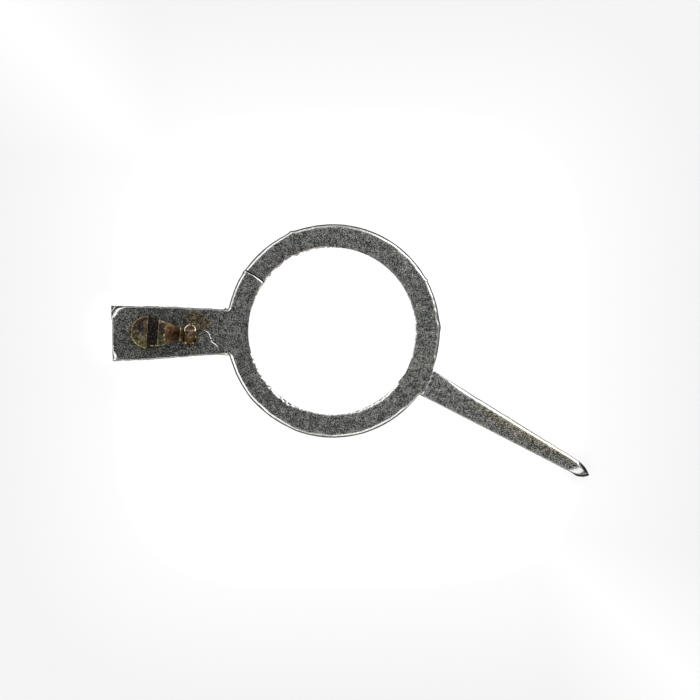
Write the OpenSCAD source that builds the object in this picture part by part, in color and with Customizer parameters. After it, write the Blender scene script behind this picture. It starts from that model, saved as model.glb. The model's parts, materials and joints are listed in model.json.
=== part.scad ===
// Watch regulator (index): a split ring with a tail and a pointer, a turning boot and a curb pin.
// Millimetres. The part lies on its flat face, with the boot and the pin standing up.
// The origin is the ring's centre on that face, and the tail runs along -X.

/* [Blank] */
// Thickness of the steel that the ring, tail and pointer are stamped from
blank_t = 0.30; // [0.26:0.01:0.36]
// Radius of the roll-off that the stamping leaves along an edge
roll_r = 0.12; // [0.11:0.01:0.2]

/* [Ring] */
// Outside diameter of the ring
ring_od = 4.26; // [4.16:0.02:4.5]
// Bore of the ring, which grips its seat on the balance cock
ring_id = 3.38; // [3.2:0.02:3.5]
// Width of the roll-off round the outside of the ring
rim_roll = 0.10; // [0.06:0.01:0.1]
// Width of the roll-off round the bore
bore_roll = 0.05; // [0.03:0.01:0.08]
// Width of the slit that lets the ring spring open
slit_w = 0.03; // [0.02:0.01:0.06]
// Angle of the slit, anticlockwise from +X
slit_turn = 144.5; // [120:0.5:150]
// Width of the roll-off on the slit's lip nearer the tail
slit_roll = 0.04; // [0.02:0.01:0.06]

/* [Tail] */
// From the ring's centre to the tail's end
tail_reach = 4.40; // [4.3:0.05:4.7]
// Width of the tail at its end
tail_end_w = 1.12; // [1.0:0.02:1.3]
// Width of the tail where it leaves the ring
tail_root_w = 0.90; // [0.7:0.02:1.0]
// Width of the roll-off along the tail's edges
tail_roll = 0.04; // [0.02:0.01:0.06]
// Radius that the roll-off leaves on the face at the tail's two corners
corner_r = 0.20; // [0.1:0.01:0.24]
// Radius of the deeper roll-off at those corners
corner_roll_r = 0.16; // [0.14:0.01:0.25]

/* [Pointer] */
// Angle of the pointer, anticlockwise from +X
pointer_turn = -30; // [-60:1:-20]
// From the ring's centre to the pointer's tip
pointer_reach = 5.88; // [5.0:0.02:6.5]
// How far the pointer's middle line passes the ring's centre, on the slit's side
pointer_offset = 0.025; // [0:0.005:0.05]
// Width of the pointer where it leaves the ring
pointer_root_w = 0.55; // [0.4:0.01:0.6]
// Width of the pointer where its point begins
pointer_end_w = 0.27; // [0.18:0.01:0.3]
// Length of the curved point
point_l = 0.28; // [0.2:0.01:0.4]
// How far the pointer's face lies below the ring's face
relief = 0.04; // [0.02:0.01:0.08]
// Width of the roll-off along the pointer's edges
pointer_roll = 0.07; // [0.04:0.01:0.08]
// Length over which the face rolls down to the tip
tip_roll = 0.36; // [0.2:0.01:0.4]
// Radius of the roll-off at the tip
tip_roll_r = 0.50; // [0.46:0.02:0.8]

/* [Boot] */
// From the ring's centre to the boot's pivot
boot_reach = 3.70; // [3.6:0.01:3.8]
// Direction of the boot's nose at rest, anticlockwise from +X
boot_turn = -3.5; // [-5:0.5:5]
// Diameter of the boot's round head
head_d = 0.64; // [0.56:0.02:0.7]
// Height of the head above its collar
head_h = 0.50; // [0.4:0.02:0.6]
// From the pivot to the step between the head's top and the nose
head_reach = 0.37; // [0.32:0.01:0.42]
// Height of the nose above the collar, next to the head
nose_h = 0.38; // [0.26:0.01:0.38]
// How far the nose's top slopes down towards its end
nose_drop = 0.10; // [0.02:0.01:0.12]
// Width of the nose at its end
nose_w = 0.26; // [0.2:0.01:0.3]
// Width of the screwdriver slot
slot_w = 0.19; // [0.14:0.01:0.2]
// Depth of the screwdriver slot
slot_depth = 0.20; // [0.12:0.01:0.26]
// From the pivot to the middle of the slot
slot_offset = 0.09; // [0:0.01:0.1]
// Bevel round the top of the head
head_bevel = 0.02; // [0.01:0.005:0.04]
// Thickness of the lip that shuts the hairspring in
lip_t = 0.06; // [0.04:0.01:0.1]
// Diameter of the collar that the boot turns on
collar_d = 0.50; // [0.44:0.02:0.54]
// Height of the collar
collar_h = 0.04; // [0.03:0.01:0.06]
// Diameter of the post that passes through the tail
post_d = 0.34; // [0.28:0.02:0.38]
// Diameter of the post's riveted end
rivet_d = 0.48; // [0.44:0.02:0.54]
// Depth of the riveted end
rivet_h = 0.08; // [0.06:0.01:0.1]

/* [Curb pin] */
// From the ring's centre to the curb pin, along the tail
pin_reach = 2.86; // [2.84:0.01:2.9]
// How far the pin's foot stands off the tail's middle line, towards -Y
pin_side = 0.13; // [0:0.01:0.16]
// Diameter of the curb pin
pin_d = 0.25; // [0.2:0.01:0.28]
// Length of the pin above the tail
pin_free = 0.68; // [0.5:0.02:0.8]
// Lean of the pin's free length, back towards +Y
pin_lean = 14; // [0:1:16]
// Width of the rounding at the pin's tip
pin_round = 0.06; // [0.03:0.01:0.09]
// Diameter of the pin's riveted end
pin_rivet_d = 0.37; // [0.34:0.01:0.42]
// Depth of the pin's riveted end
pin_rivet_h = 0.08; // [0.05:0.01:0.12]

/* [Clearances] */
// Radial and end play of the boot's post in the tail
boot_play = 0.01; // [0.01:0.005:0.02]
// Gap between the nose and the curb pin, where the hairspring runs
spring_gap = 0.065; // [0.05:0.005:0.08]
// Gap left between the lip and the curb pin
lip_gap = 0.04; // [0.02:0.005:0.045]

/* [Hidden] */
$fn = 96;

past = 0.02; // how far a cutting shape runs past what it cuts
ring_r = ring_od / 2;
bore_r = ring_id / 2;
band_r = (ring_r + bore_r) / 2; // the middle of the ring's band, where both arms start
head_r = head_d / 2;
pin_r = pin_d / 2;

// The nose stops short of the leaning pin by the hairspring's gap, and the lip narrows it.
pivot_to_pin = boot_reach - pin_reach;
nose_reach = pivot_to_pin - pin_r - spring_gap;
lip_reach = pivot_to_pin - pin_r - lip_gap;

// Slopes of the sides of the tail, and of the pointer up to where its point begins
tail_slope = atan((tail_end_w - tail_root_w) / 2 / (tail_reach - ring_r));
point_x = pointer_reach - point_l;
pointer_t = blank_t - relief;
pointer_slope = atan((pointer_root_w - pointer_end_w) / 2 / (point_x - ring_r));

// Middle of the roll-off at the tail's corner on its +Y side
corner_inset = corner_r + tail_roll;
corner_x = tail_reach - corner_inset;
corner_y = tail_root_w / 2 + (corner_x - ring_r) * tan(tail_slope) - corner_inset / cos(tail_slope);

// Each arc of the pointer's tip carries on from its side, and the two meet at the tip.
point_half = pointer_end_w / 2;
arch_r = (point_l * point_l + point_half * point_half) / 2
       / (point_half * cos(pointer_slope) - point_l * sin(pointer_slope));
arch_x = point_x - arch_r * sin(pointer_slope);
arch_y = point_half - arch_r * cos(pointer_slope);

// Half-widths of the two arms at a distance x from the ring's centre
function tail_half(x) = tail_root_w / 2 + (x - ring_r) * tan(tail_slope);
function pointer_half(x) = pointer_root_w / 2 - (x - ring_r) * tan(pointer_slope);

// Depth that a roll-off of radius r has reached at its width w
function roll_depth(w, r) = r - sqrt(r * r - w * w);

// Section that a roll-off takes from a top edge, where the body lies at -X and -Y of the origin
module roll_section(w, r = roll_r) {
    depth = roll_depth(w, r);
    difference() {
        translate([-w, -depth]) square([w + past, depth + past]);
        translate([-w, -r]) circle(r);
    }
}

// Roll-off along a straight edge that runs from the origin along +X, with the body at -Y
module roll_along(length, w, r = roll_r) {
    rotate([90, 0, 90])
        linear_extrude(length) roll_section(w, r);
}

// Roll-off round the rim of a disc of radius rim that is centred on the origin
module roll_round(rim, w, r = roll_r) {
    rotate_extrude()
        translate([rim, 0]) roll_section(w, r);
}

// Wedge about the Z axis that runs anticlockwise from +X through an angle of 90 degrees or so
module quadrant(reach, angle) {
    linear_extrude(2 * blank_t, center = true)
        polygon([[0, 0], [reach, 0], [reach, reach], [reach * cos(angle), reach * sin(angle)]]);
}

// The ring with both its roll-offs, before it is slit
module ring() {
    rotate_extrude()
        difference() {
            translate([bore_r, 0]) square([ring_r - bore_r, blank_t]);
            translate([ring_r, blank_t]) roll_section(rim_roll);
            translate([bore_r, blank_t]) mirror([1, 0]) roll_section(bore_roll);
        }
}

// One half of the tail's roll-offs: along a side, along half of the end, and round the corner
module tail_half_cuts() {
    translate([band_r, tail_half(band_r), blank_t])
        rotate(tail_slope)
            roll_along(tail_reach - band_r + past, tail_roll, corner_roll_r);
    translate([tail_reach, 0, blank_t])
        rotate(-90) mirror([1, 0, 0])
            roll_along(tail_end_w / 2 + past, tail_roll, corner_roll_r);
    // The corner's roll-off has the same section as the sides', carried on outwards and down.
    translate([corner_x, corner_y, blank_t])
        intersection() {
            roll_round(corner_r + corner_roll_r, corner_roll_r, corner_roll_r);
            quadrant(2 * corner_inset, 90 + tail_slope);
        }
}

// The tail as it lies along +X
module tail() {
    difference() {
        linear_extrude(blank_t)
            polygon([[band_r, -tail_half(band_r)], [tail_reach, -tail_end_w / 2],
                     [tail_reach, tail_end_w / 2], [band_r, tail_half(band_r)]]);
        tail_half_cuts();
        mirror([0, 1, 0]) tail_half_cuts();
    }
}

// Outline of the pointer along +X: straight tapering sides, then a pointed arch
module pointer_outline() {
    polygon([[band_r, -pointer_half(band_r)], [point_x, -point_half],
             [point_x, point_half], [band_r, pointer_half(band_r)]]);
    intersection() {
        translate([arch_x, arch_y]) circle(arch_r);
        translate([arch_x, -arch_y]) circle(arch_r);
        translate([point_x, -point_half]) square([point_l, pointer_end_w]);
    }
}

// The pointer as it lies along +X, with its face below the ring's and rolled off all round
module pointer() {
    difference() {
        linear_extrude(pointer_t) pointer_outline();
        for (side = [0, 1])
            mirror([0, side, 0])
                translate([band_r, pointer_half(band_r), pointer_t])
                    rotate(-pointer_slope)
                        roll_along(pointer_reach - band_r, pointer_roll);
        translate([pointer_reach, -pointer_end_w, pointer_t])
            rotate(-90) mirror([1, 0, 0])
                roll_along(2 * pointer_end_w, tip_roll, tip_roll_r);
    }
}

// The slit through the ring, with the roll-off on its lip nearer the tail
module slit() {
    rotate(slit_turn) {
        translate([bore_r - past, -slit_w / 2, -past])
            cube([ring_r - bore_r + 2 * past, slit_w, blank_t + 2 * past]);
        translate([bore_r - past, slit_w / 2, blank_t])
            mirror([0, 1, 0]) roll_along(ring_r - bore_r + 2 * past, slit_roll);
    }
}

// Hole for the boot's post, with a recess for its riveted end
module boot_hole() {
    translate([0, 0, -past]) cylinder(h = blank_t + 2 * past, d = post_d + 2 * boot_play);
    translate([0, 0, -past]) cylinder(h = rivet_h + boot_play + past, d = rivet_d + 2 * boot_play);
}

// Hole for the curb pin, with a countersink for its riveted end
module pin_hole() {
    translate([0, 0, -past]) cylinder(h = blank_t + 2 * past, d = pin_d);
    cylinder(h = pin_rivet_h, d1 = pin_rivet_d, d2 = pin_d);
}

// Split ring, tail and pointer: one steel stamping
module index() {
    color("dimgray")
        difference() {
            union() {
                ring();
                rotate(180) tail();
                rotate(pointer_turn) translate([0, pointer_offset, 0]) pointer();
            }
            slit();
            translate([-boot_reach, 0, 0]) boot_hole();
            translate([-pin_reach, -pin_side, 0]) pin_hole();
        }
}

// Outline of the boot: a round head whose flanks run straight to the nose
module boot_outline() {
    half = nose_w / 2;
    // Direction in which the upper flank leaves the head, measured from the pivot
    touch = atan2(half, nose_reach) + acos(head_r / norm([nose_reach, half]));
    intersection() {
        union() {
            circle(head_r);
            polygon([[0, 0],
                     [head_r * cos(touch), -head_r * sin(touch)], [nose_reach, -half],
                     [nose_reach, half], [head_r * cos(touch), head_r * sin(touch)]]);
        }
        circle(nose_reach);
    }
}

// What is cut away above the nose, seen from the side
module above_nose() {
    end_h = nose_h - nose_drop;
    rotate([90, 0, 0])
        linear_extrude(2 * head_d, center = true)
            polygon([[head_reach, nose_h], [nose_reach, end_h], [nose_reach + past, end_h],
                     [nose_reach + past, head_h + past], [head_reach, head_h + past]]);
}

// Bevel round the head's top edge
module head_bevel_cut() {
    rotate_extrude()
        polygon([[head_r - head_bevel, 0], [head_r, -head_bevel],
                 [head_r + past, -head_bevel], [head_r + past, past], [head_r - head_bevel, past]]);
}

// The turning boot: riveted post, collar, slotted head, and nose with its lip
module boot() {
    floor_z = blank_t + boot_play;
    head_z = floor_z + collar_h;
    color("darkgoldenrod")
        translate([-boot_reach, 0, 0])
            rotate(boot_turn) {
                cylinder(h = rivet_h, d = rivet_d);
                cylinder(h = head_z, d = post_d);
                translate([0, 0, floor_z]) cylinder(h = collar_h, d = collar_d);
                translate([0, 0, head_z])
                    difference() {
                        linear_extrude(head_h) boot_outline();
                        above_nose();
                        translate([slot_offset - slot_w / 2, -head_d, head_h - slot_depth])
                            cube([slot_w, 2 * head_d, slot_depth + past]);
                        // The bevel stops at the slot, where the flanks leave the head.
                        intersection() {
                            translate([0, 0, head_h]) head_bevel_cut();
                            translate([-head_d, -head_d, 0])
                                cube([head_d + slot_offset, 2 * head_d, head_h + past]);
                        }
                    }
                translate([0, 0, head_z + nose_h - nose_drop - lip_t])
                    intersection() {
                        cylinder(h = lip_t, r = lip_reach);
                        translate([head_reach, -nose_w / 2, 0]) cube([lip_reach, nose_w, lip_t]);
                    }
            }
}

// The curb pin: riveted in the tail, with its free length bent over a little
module curb_pin() {
    color("peru")
        translate([-pin_reach, -pin_side, 0]) {
            cylinder(h = blank_t, d = pin_d);
            cylinder(h = pin_rivet_h, d1 = pin_rivet_d, d2 = pin_d);
            intersection() {
                translate([0, 0, blank_t])
                    rotate([-pin_lean, 0, 0])
                        translate([0, 0, -pin_r])
                            rotate_extrude()
                                difference() {
                                    square([pin_r, pin_free + pin_r]);
                                    translate([pin_r, pin_free + pin_r])
                                        roll_section(pin_round, pin_r);
                                }
                translate([-pin_d, -pin_d, blank_t])
                    cube([2 * pin_d, 2 * pin_d + pin_free, 2 * pin_free]);
            }
        }
}

index();
boot();
curb_pin();
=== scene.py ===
import json
from math import acos, asin, atan, atan2, ceil, cos, degrees, hypot, pi, radians, sin, sqrt, tan

import bmesh
import bpy
from mathutils import Matrix, Vector, kdtree, noise


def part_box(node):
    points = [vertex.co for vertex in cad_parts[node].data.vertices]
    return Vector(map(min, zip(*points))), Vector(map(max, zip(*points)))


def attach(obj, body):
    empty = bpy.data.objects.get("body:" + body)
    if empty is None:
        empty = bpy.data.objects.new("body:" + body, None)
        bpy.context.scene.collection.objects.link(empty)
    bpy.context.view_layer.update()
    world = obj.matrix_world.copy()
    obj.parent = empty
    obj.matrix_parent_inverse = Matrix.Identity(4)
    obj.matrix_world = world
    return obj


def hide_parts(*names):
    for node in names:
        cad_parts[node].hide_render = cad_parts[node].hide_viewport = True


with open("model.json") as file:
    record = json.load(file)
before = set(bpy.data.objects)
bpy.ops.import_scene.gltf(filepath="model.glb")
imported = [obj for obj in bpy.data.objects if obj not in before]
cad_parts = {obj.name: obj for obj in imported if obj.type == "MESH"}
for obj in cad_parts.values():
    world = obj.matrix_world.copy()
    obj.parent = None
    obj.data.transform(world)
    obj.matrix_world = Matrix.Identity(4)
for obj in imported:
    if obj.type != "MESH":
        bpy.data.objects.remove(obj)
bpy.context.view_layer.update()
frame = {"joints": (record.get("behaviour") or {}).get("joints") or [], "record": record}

# Watch regulator, seen from above on a white card. Shapes are built in millimetres and
# scaled to metres when a piece is finished. +X runs from the tail towards the ring, +Z up.
mm = 0.001


def nodeBox(node):
    low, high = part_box(node)
    return low / mm, high / mm


indexLow, indexHigh = nodeBox("index")
bootHigh, pinHigh = nodeBox("boot")[1], nodeBox("curb_pin")[1]
seat = next(m for m in frame["record"]["mounts"] if m["name"] == "ring_seat")
pivot = Vector(frame["joints"][0]["pos_m"]) / mm


# Colour and node helpers

def linearColour(hexValue):
    channels = [int(hexValue[i:i + 2], 16) / 255 for i in (1, 3, 5)]
    return tuple(c / 12.92 if c < 0.04045 else ((c + 0.055) / 1.055) ** 2.4 for c in channels) + (1.0,)


def addNode(tree, kind, settings=None, inputs=None):
    node = tree.nodes.new("ShaderNode" + kind)
    for name, value in (settings or {}).items():
        if name != "stops":
            setattr(node, name, value)
            continue
        elements = node.color_ramp.elements
        for i, (place, hexValue) in enumerate(value):
            stop = elements[i] if i < 2 else elements.new(place)
            stop.position, stop.color = place, linearColour(hexValue)
    for socket, value in (inputs or {}).items():
        if isinstance(value, bpy.types.NodeSocket):
            tree.links.new(value, node.inputs[socket])
        else:
            node.inputs[socket].default_value = value
    return node


def startMaterial(name):
    material = bpy.data.materials.new(name)
    material.use_nodes = True
    tree = material.node_tree
    tree.nodes.clear()
    return material, tree


def finishMaterial(tree, inputs):
    shader = addNode(tree, "BsdfPrincipled", inputs=inputs)
    addNode(tree, "OutputMaterial", inputs={"Surface": shader.outputs[0]})


smooth = {"interpolation_type": "SMOOTHSTEP"}    # settings for a MapRange that eases in and out


# Where an oval spot lies on a surface: 1 in its middle, falling to 0 at its rim
def spotDepth(tree, place, spot):
    x, y, halfLength, halfWidth, turn = spot
    local = addNode(tree, "Mapping", {"vector_type": "TEXTURE"}, {
        "Vector": place, "Location": (x * mm, y * mm, 0.0), "Rotation": (0.0, 0.0, radians(turn)),
        "Scale": (halfLength * mm, halfWidth * mm, 1.0)}).outputs[0]
    away = addNode(tree, "VectorMath", {"operation": "LENGTH"}, {0: local}).outputs["Value"]
    return addNode(tree, "Math", {"operation": "SUBTRACT"}, {0: 1.0, 1: away}).outputs[0]


# Steel of the stamping: tumbled and left matt, so the face is a salt-and-pepper grey.
# Where the die rolled the edge over it is burnished and bright, and past that torn and painted dark, a
# painted shade along the steepest part of the roll.
stampedSteelValues = {
    "grainSize": 0.0125,             # mm, one grain, drawn as coarse as it has to be to show
    "clusterSize": 0.09,             # mm, patches a little lighter or darker
    "grainHeight": 0.0012,           # mm
    "grainShares": (0.40, 0.32),     # what single grains and patches add to the fine speckle
    "faceTones": [(0.61, "#242725"), (0.885, "#656864"), (1.03, "#9d9f9a"), (1.19, "#f8f9f2")],
    "colouredGrain": 0.09,           # how far single grains stray to a warmer or a colder grey
    # tumbling rubbed the ring brighter than the tail: from x, to x and the tone before it, in mm
    "duller": [(-2.0, 1.0, 0.79), (-2.7, -2.1, 0.81)],
    # rust at the bore's torn edge: bearing, degrees to each side, mm past the bore, and strength
    "rustBearing": 122,
    "rustSpread": (34, 24),
    "rustReach": (0.045, 0.010),
    "rustRaggedness": 0.04,
    "rustStrength": 0.8,
    "rolledTilt": (6, 20),           # degrees over which the face turns into the burnished roll
    "tornTilt": (40, 47),            # and the roll into torn metal, painted dark as shade
    "roughness": (0.42, 0.22, 0.6),  # face, roll and torn metal
    "creepSize": 0.07,               # mm, how finely the oil's rims are frayed
    # oval (x, y, half length, half width, turn), soft rim, raggedness, strength and tint
    "oil": [((-3.70, 0.0, 0.40, 0.38, 0), 0.10, 0.12, 0.55, "#e8c9a0"),
            ((-2.86, -0.06, 0.25, 0.27, 0), 0.35, 0.35, 0.85, "#e6c896"),
            ((3.776, -2.059, 1.50, 0.16, -30), 0.50, 0.35, 0.6, "#fff0d8"),
            ((-2.690, 0.235, 0.305, 0.160, -31), 0.22, 0.50, 1.0, "#ffe9cc")],
}


def makeStampedSteel():
    v = stampedSteelValues
    material, tree = startMaterial("stamped_carbon_steel_tumbled")
    coords = addNode(tree, "TexCoord")
    place = coords.outputs["Object"]
    grain = addNode(tree, "TexNoise", inputs={
        "Vector": place, "Scale": 1 / (v["grainSize"] * mm), "Detail": 1.0, "Roughness": 0.6})
    cell = addNode(tree, "TexVoronoi", inputs={
        "Vector": place, "Scale": 1 / (v["grainSize"] * mm)})
    cellTone = addNode(tree, "SeparateColor", inputs={0: cell.outputs["Color"]})
    cluster = addNode(tree, "TexNoise", inputs={
        "Vector": place, "Scale": 1 / (v["clusterSize"] * mm), "Detail": 2.0, "Roughness": 0.5})
    ofGrain, ofCluster = v["grainShares"]
    speckle = addNode(tree, "Math", {"operation": "MULTIPLY_ADD"}, {
        0: cellTone.outputs[0], 1: ofGrain, 2: grain.outputs["Fac"]})
    speckle = addNode(tree, "Math", {"operation": "MULTIPLY_ADD"}, {
        0: cluster.outputs["Fac"], 1: ofCluster, 2: speckle.outputs[0]})
    faceColour = addNode(tree, "ValToRGB", {"stops": v["faceTones"]},
                         {"Fac": speckle.outputs[0]}).outputs[0]
    along = addNode(tree, "SeparateXYZ", inputs={0: place}).outputs["X"]
    for start, end, tone in v["duller"]:
        rubbed = addNode(tree, "MapRange", inputs={
            "Value": along, "From Min": start * mm, "From Max": end * mm, "To Min": tone}).outputs[0]
        faceColour = addNode(tree, "MixRGB", {"blend_type": "MULTIPLY"}, {
            0: 1.0, 1: faceColour, 2: rubbed}).outputs[0]
    faceColour = addNode(tree, "MixRGB", {"blend_type": "LINEAR_LIGHT"}, {
        0: v["colouredGrain"], 1: faceColour, 2: grain.outputs["Color"]}).outputs[0]

    # A film of rust at the bore's torn edge, between the slit and the +Y side
    flat = addNode(tree, "VectorMath", {"operation": "MULTIPLY"}, {0: place, 1: (1.0, 1.0, 0.0)}).outputs[0]
    radius = addNode(tree, "VectorMath", {"operation": "LENGTH"}, {0: flat}).outputs["Value"]
    ragged = addNode(tree, "Math", {"operation": "MULTIPLY_ADD"}, {
        0: grain.outputs["Fac"], 1: v["rustRaggedness"] * mm, 2: radius}).outputs[0]
    starts, full = [(seat["dims"]["r_mm"] + reach) * mm for reach in v["rustReach"]]
    atBore = addNode(tree, "MapRange", smooth, {
        "Value": ragged, "From Min": starts, "From Max": full}).outputs[0]
    bearing = radians(v["rustBearing"])
    heading = addNode(tree, "VectorMath", {"operation": "DOT_PRODUCT"}, {
        0: flat, 1: (cos(bearing), sin(bearing), 0.0)}).outputs["Value"]
    heading = addNode(tree, "Math", {"operation": "DIVIDE"}, {0: heading, 1: radius}).outputs[0]
    outermost, inner = [cos(radians(spread)) for spread in v["rustSpread"]]
    within = addNode(tree, "MapRange", smooth, {
        "Value": heading, "From Min": outermost, "From Max": inner, "To Max": v["rustStrength"]}).outputs[0]
    rust = addNode(tree, "Math", {"operation": "MULTIPLY"}, {0: atBore, 1: within}).outputs[0]
    faceColour = addNode(tree, "MixRGB", inputs={
        0: rust, 1: faceColour, 2: linearColour("#f2ddd4")}).outputs[0]

    # Slope of the surface, read from its own normal: 0 on the flat, 1 on the rolled edge
    upright = addNode(tree, "SeparateXYZ", inputs={0: coords.outputs["Normal"]}).outputs["Z"]
    rolled, torn = [addNode(tree, "MapRange", smooth, {
        "Value": upright, "From Min": cos(radians(first)), "From Max": cos(radians(last))}).outputs[0]
        for first, last in (v["rolledTilt"], v["tornTilt"])]
    rolledColour = addNode(tree, "MixRGB", inputs={
        0: 0.75, 1: faceColour, 2: linearColour("#c6c7c3")}).outputs[0]
    bright = addNode(tree, "MixRGB", inputs={0: rolled, 1: faceColour, 2: rolledColour}).outputs[0]
    # the steepest part of the roll is painted near black: painted shade, over torn metal
    steel = addNode(tree, "MixRGB", inputs={0: torn, 1: bright, 2: linearColour("#2b2a28")}).outputs[0]

    # Dried oil: it rings the boot and the pin's foot, dulls the pointer, and ran from under the pin
    creep = addNode(tree, "TexNoise", inputs={
        "Vector": place, "Scale": 1 / (v["creepSize"] * mm), "Detail": 4.0,
        "Roughness": 0.65}).outputs["Fac"]
    for spot, softness, raggedness, strength, tint in v["oil"]:
        start = raggedness / 2
        depth = addNode(tree, "Math", {"operation": "MULTIPLY_ADD"}, {
            0: creep, 1: raggedness, 2: spotDepth(tree, place, spot)}).outputs[0]
        stain = addNode(tree, "MapRange", smooth, {
            "Value": depth, "From Min": start, "From Max": start + softness, "To Max": strength}).outputs[0]
        stained = addNode(tree, "MixRGB", {"blend_type": "MULTIPLY"}, {
            0: 1.0, 1: steel, 2: linearColour(tint)}).outputs[0]
        steel = addNode(tree, "MixRGB", inputs={0: stain, 1: steel, 2: stained}).outputs[0]
    # The last one is the run, and along its rim a third of the grains are pale flecks of dried oil
    fleck = addNode(tree, "Math", {"operation": "GREATER_THAN"}, {
        0: cellTone.outputs[1], 1: 0.66}).outputs[0]
    rim = addNode(tree, "MapRange", smooth, {
        "Value": depth, "From Min": start + 0.22, "From Max": start + 0.08}).outputs[0]
    rim = addNode(tree, "Math", {"operation": "MULTIPLY"}, {0: rim, 1: stain}).outputs[0]
    rim = addNode(tree, "Math", {"operation": "MULTIPLY"}, {0: rim, 1: fleck}).outputs[0]
    base = addNode(tree, "MixRGB", inputs={0: rim, 1: steel, 2: linearColour("#cfc6a6")}).outputs[0]

    faceRough, rolledRough, tornRough = v["roughness"]
    roughness = addNode(tree, "MapRange", inputs={
        "Value": rolled, "To Min": faceRough, "To Max": rolledRough}).outputs[0]
    roughness = addNode(tree, "MapRange", inputs={
        "Value": torn, "To Min": roughness, "To Max": tornRough}).outputs[0]
    bump = addNode(tree, "Bump", inputs={
        "Strength": 1.0, "Distance": v["grainHeight"] * mm, "Height": grain.outputs["Fac"]})
    finishMaterial(tree, {"Base Color": base, "Metallic": 1.0, "Roughness": roughness,
                          "Normal": bump.outputs[0]})
    return material


# Sheared wall of the stamping: torn steel, dark, with fine upright drag lines from the punch
shearedSteelValues = {
    "name": "sheared_steel_edge",
    "size": 0.03,                    # mm, one drag line
    "detail": 3.0,
    "height": 0.003,                 # mm
    "squeeze": (1.0, 1.0, 0.12),     # draws the pattern out upright
    "tones": [(0.3, "#242322"), (0.5, "#4a4946"), (0.75, "#8a8983")],
    "roughness": 0.48,
}
# The side that shows in the watch: lapped flat, satin, with fine straight lines along the part
lappedSteelValues = {
    "name": "lapped_satin_steel",
    "size": 0.02,                    # mm, one line of the lap
    "detail": 4.0,
    "height": 0.0006,                # mm
    "squeeze": (0.03, 1.0, 1.0),     # draws the pattern out along the part
    "tones": [(0.3, "#8b8c8a"), (0.7, "#b4b5b2")],
    "roughness": 0.27,
}
# Bare brass, pale and scuffed: the lip, rubbed through the tarnish, and the post with its rivet
bareBrassValues = {
    "name": "bare_brass_rubbed",
    "size": 0.04,                    # mm, one scuff
    "detail": 3.0,
    "height": 0.001,                 # mm
    "squeeze": (1.0, 1.0, 1.0),
    "tones": [(0.35, "#8a7448"), (0.65, "#d2bd8c")],
    "roughness": 0.3,
}


def makeFineMetal(v):
    material, tree = startMaterial(v["name"])
    place = addNode(tree, "TexCoord").outputs["Object"]
    drawn = addNode(tree, "Mapping", inputs={"Vector": place, "Scale": v["squeeze"]}).outputs[0]
    pattern = addNode(tree, "TexNoise", inputs={
        "Vector": drawn, "Scale": 1 / (v["size"] * mm), "Detail": v["detail"],
        "Roughness": 0.6}).outputs["Fac"]
    base = addNode(tree, "ValToRGB", {"stops": v["tones"]}, {"Fac": pattern}).outputs[0]
    bump = addNode(tree, "Bump", inputs={"Distance": v["height"] * mm, "Height": pattern})
    finishMaterial(tree, {"Base Color": base, "Metallic": 1.0, "Roughness": v["roughness"],
                          "Normal": bump.outputs[0]})
    return material


# Turned brass of the boot: decades of tarnish, brown with drag lines from the file, olive
# towards one side, a bluish and a pink bloom, and bare, pale metal on its arrises, painted pale also as a
# painted highlight
turnedBrassValues = {
    "lineSize": 0.022,               # mm, one drag line
    "lineHeight": 0.0015,            # mm
    "patchSize": 0.09,               # mm, patches of thicker and thinner tarnish
    "oliveTo": (-0.22, 0.10),        # mm across, where olive starts to turn brown and where it ends
    # mm from the pivot between which the tone falls off past the slot, and the tone after it
    "darkStrip": (0.17, 0.23, 0.62),
    # mm from the pivot between which the bare arrises and their painted highlight end, and the share that
    # is left after it
    "coveredFrom": (0.28, 0.34, 0.2),
    "arrisTilt": (10, 24, 60, 75),   # degrees over which an arris starts, and over which it ends
    "patchWeight": 0.6,
    "bareFrom": (0.36, 0.62, 0.9),   # patch values between which bare metal comes in, and its most
    "dent": 0.010,                   # mm, how deep the rubbed spots bite
    "roughness": 0.31,
    "blooms": [((-0.115, 0.075, 0.085, 0.10, 0), "#4a4f5c"), ((-0.04, 0.16, 0.05, 0.11, 0), "#c09a90")],
    # rubbed spots on the edges, painted pale where the edges glint (painted highlight on worn brass), as
    # oval (x, y, half length, half width, turn) from the pivot
    "rubbed": [(0.322, 0.205, 0.036, 0.018, 0), (0.380, 0.032, 0.012, 0.036, 10),
               (0.342, -0.062, 0.014, 0.024, 0), (0.352, -0.142, 0.024, 0.015, -35),
               (-0.292, 0.135, 0.014, 0.026, 20), (0.09, -0.270, 0.045, 0.014, 0),
               (0.172, -0.268, 0.020, 0.018, 0)],
}


def rubbedAndGlintSpots(tree, place):
    highest = None
    for spot in turnedBrassValues["rubbed"]:
        depth = spotDepth(tree, place, spot)
        highest = depth if highest is None else addNode(tree, "Math", {"operation": "MAXIMUM"}, {
            0: highest, 1: depth}).outputs[0]
    return addNode(tree, "Math", {"operation": "MAXIMUM"}, {0: highest, 1: 0.0}).outputs[0]


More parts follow.
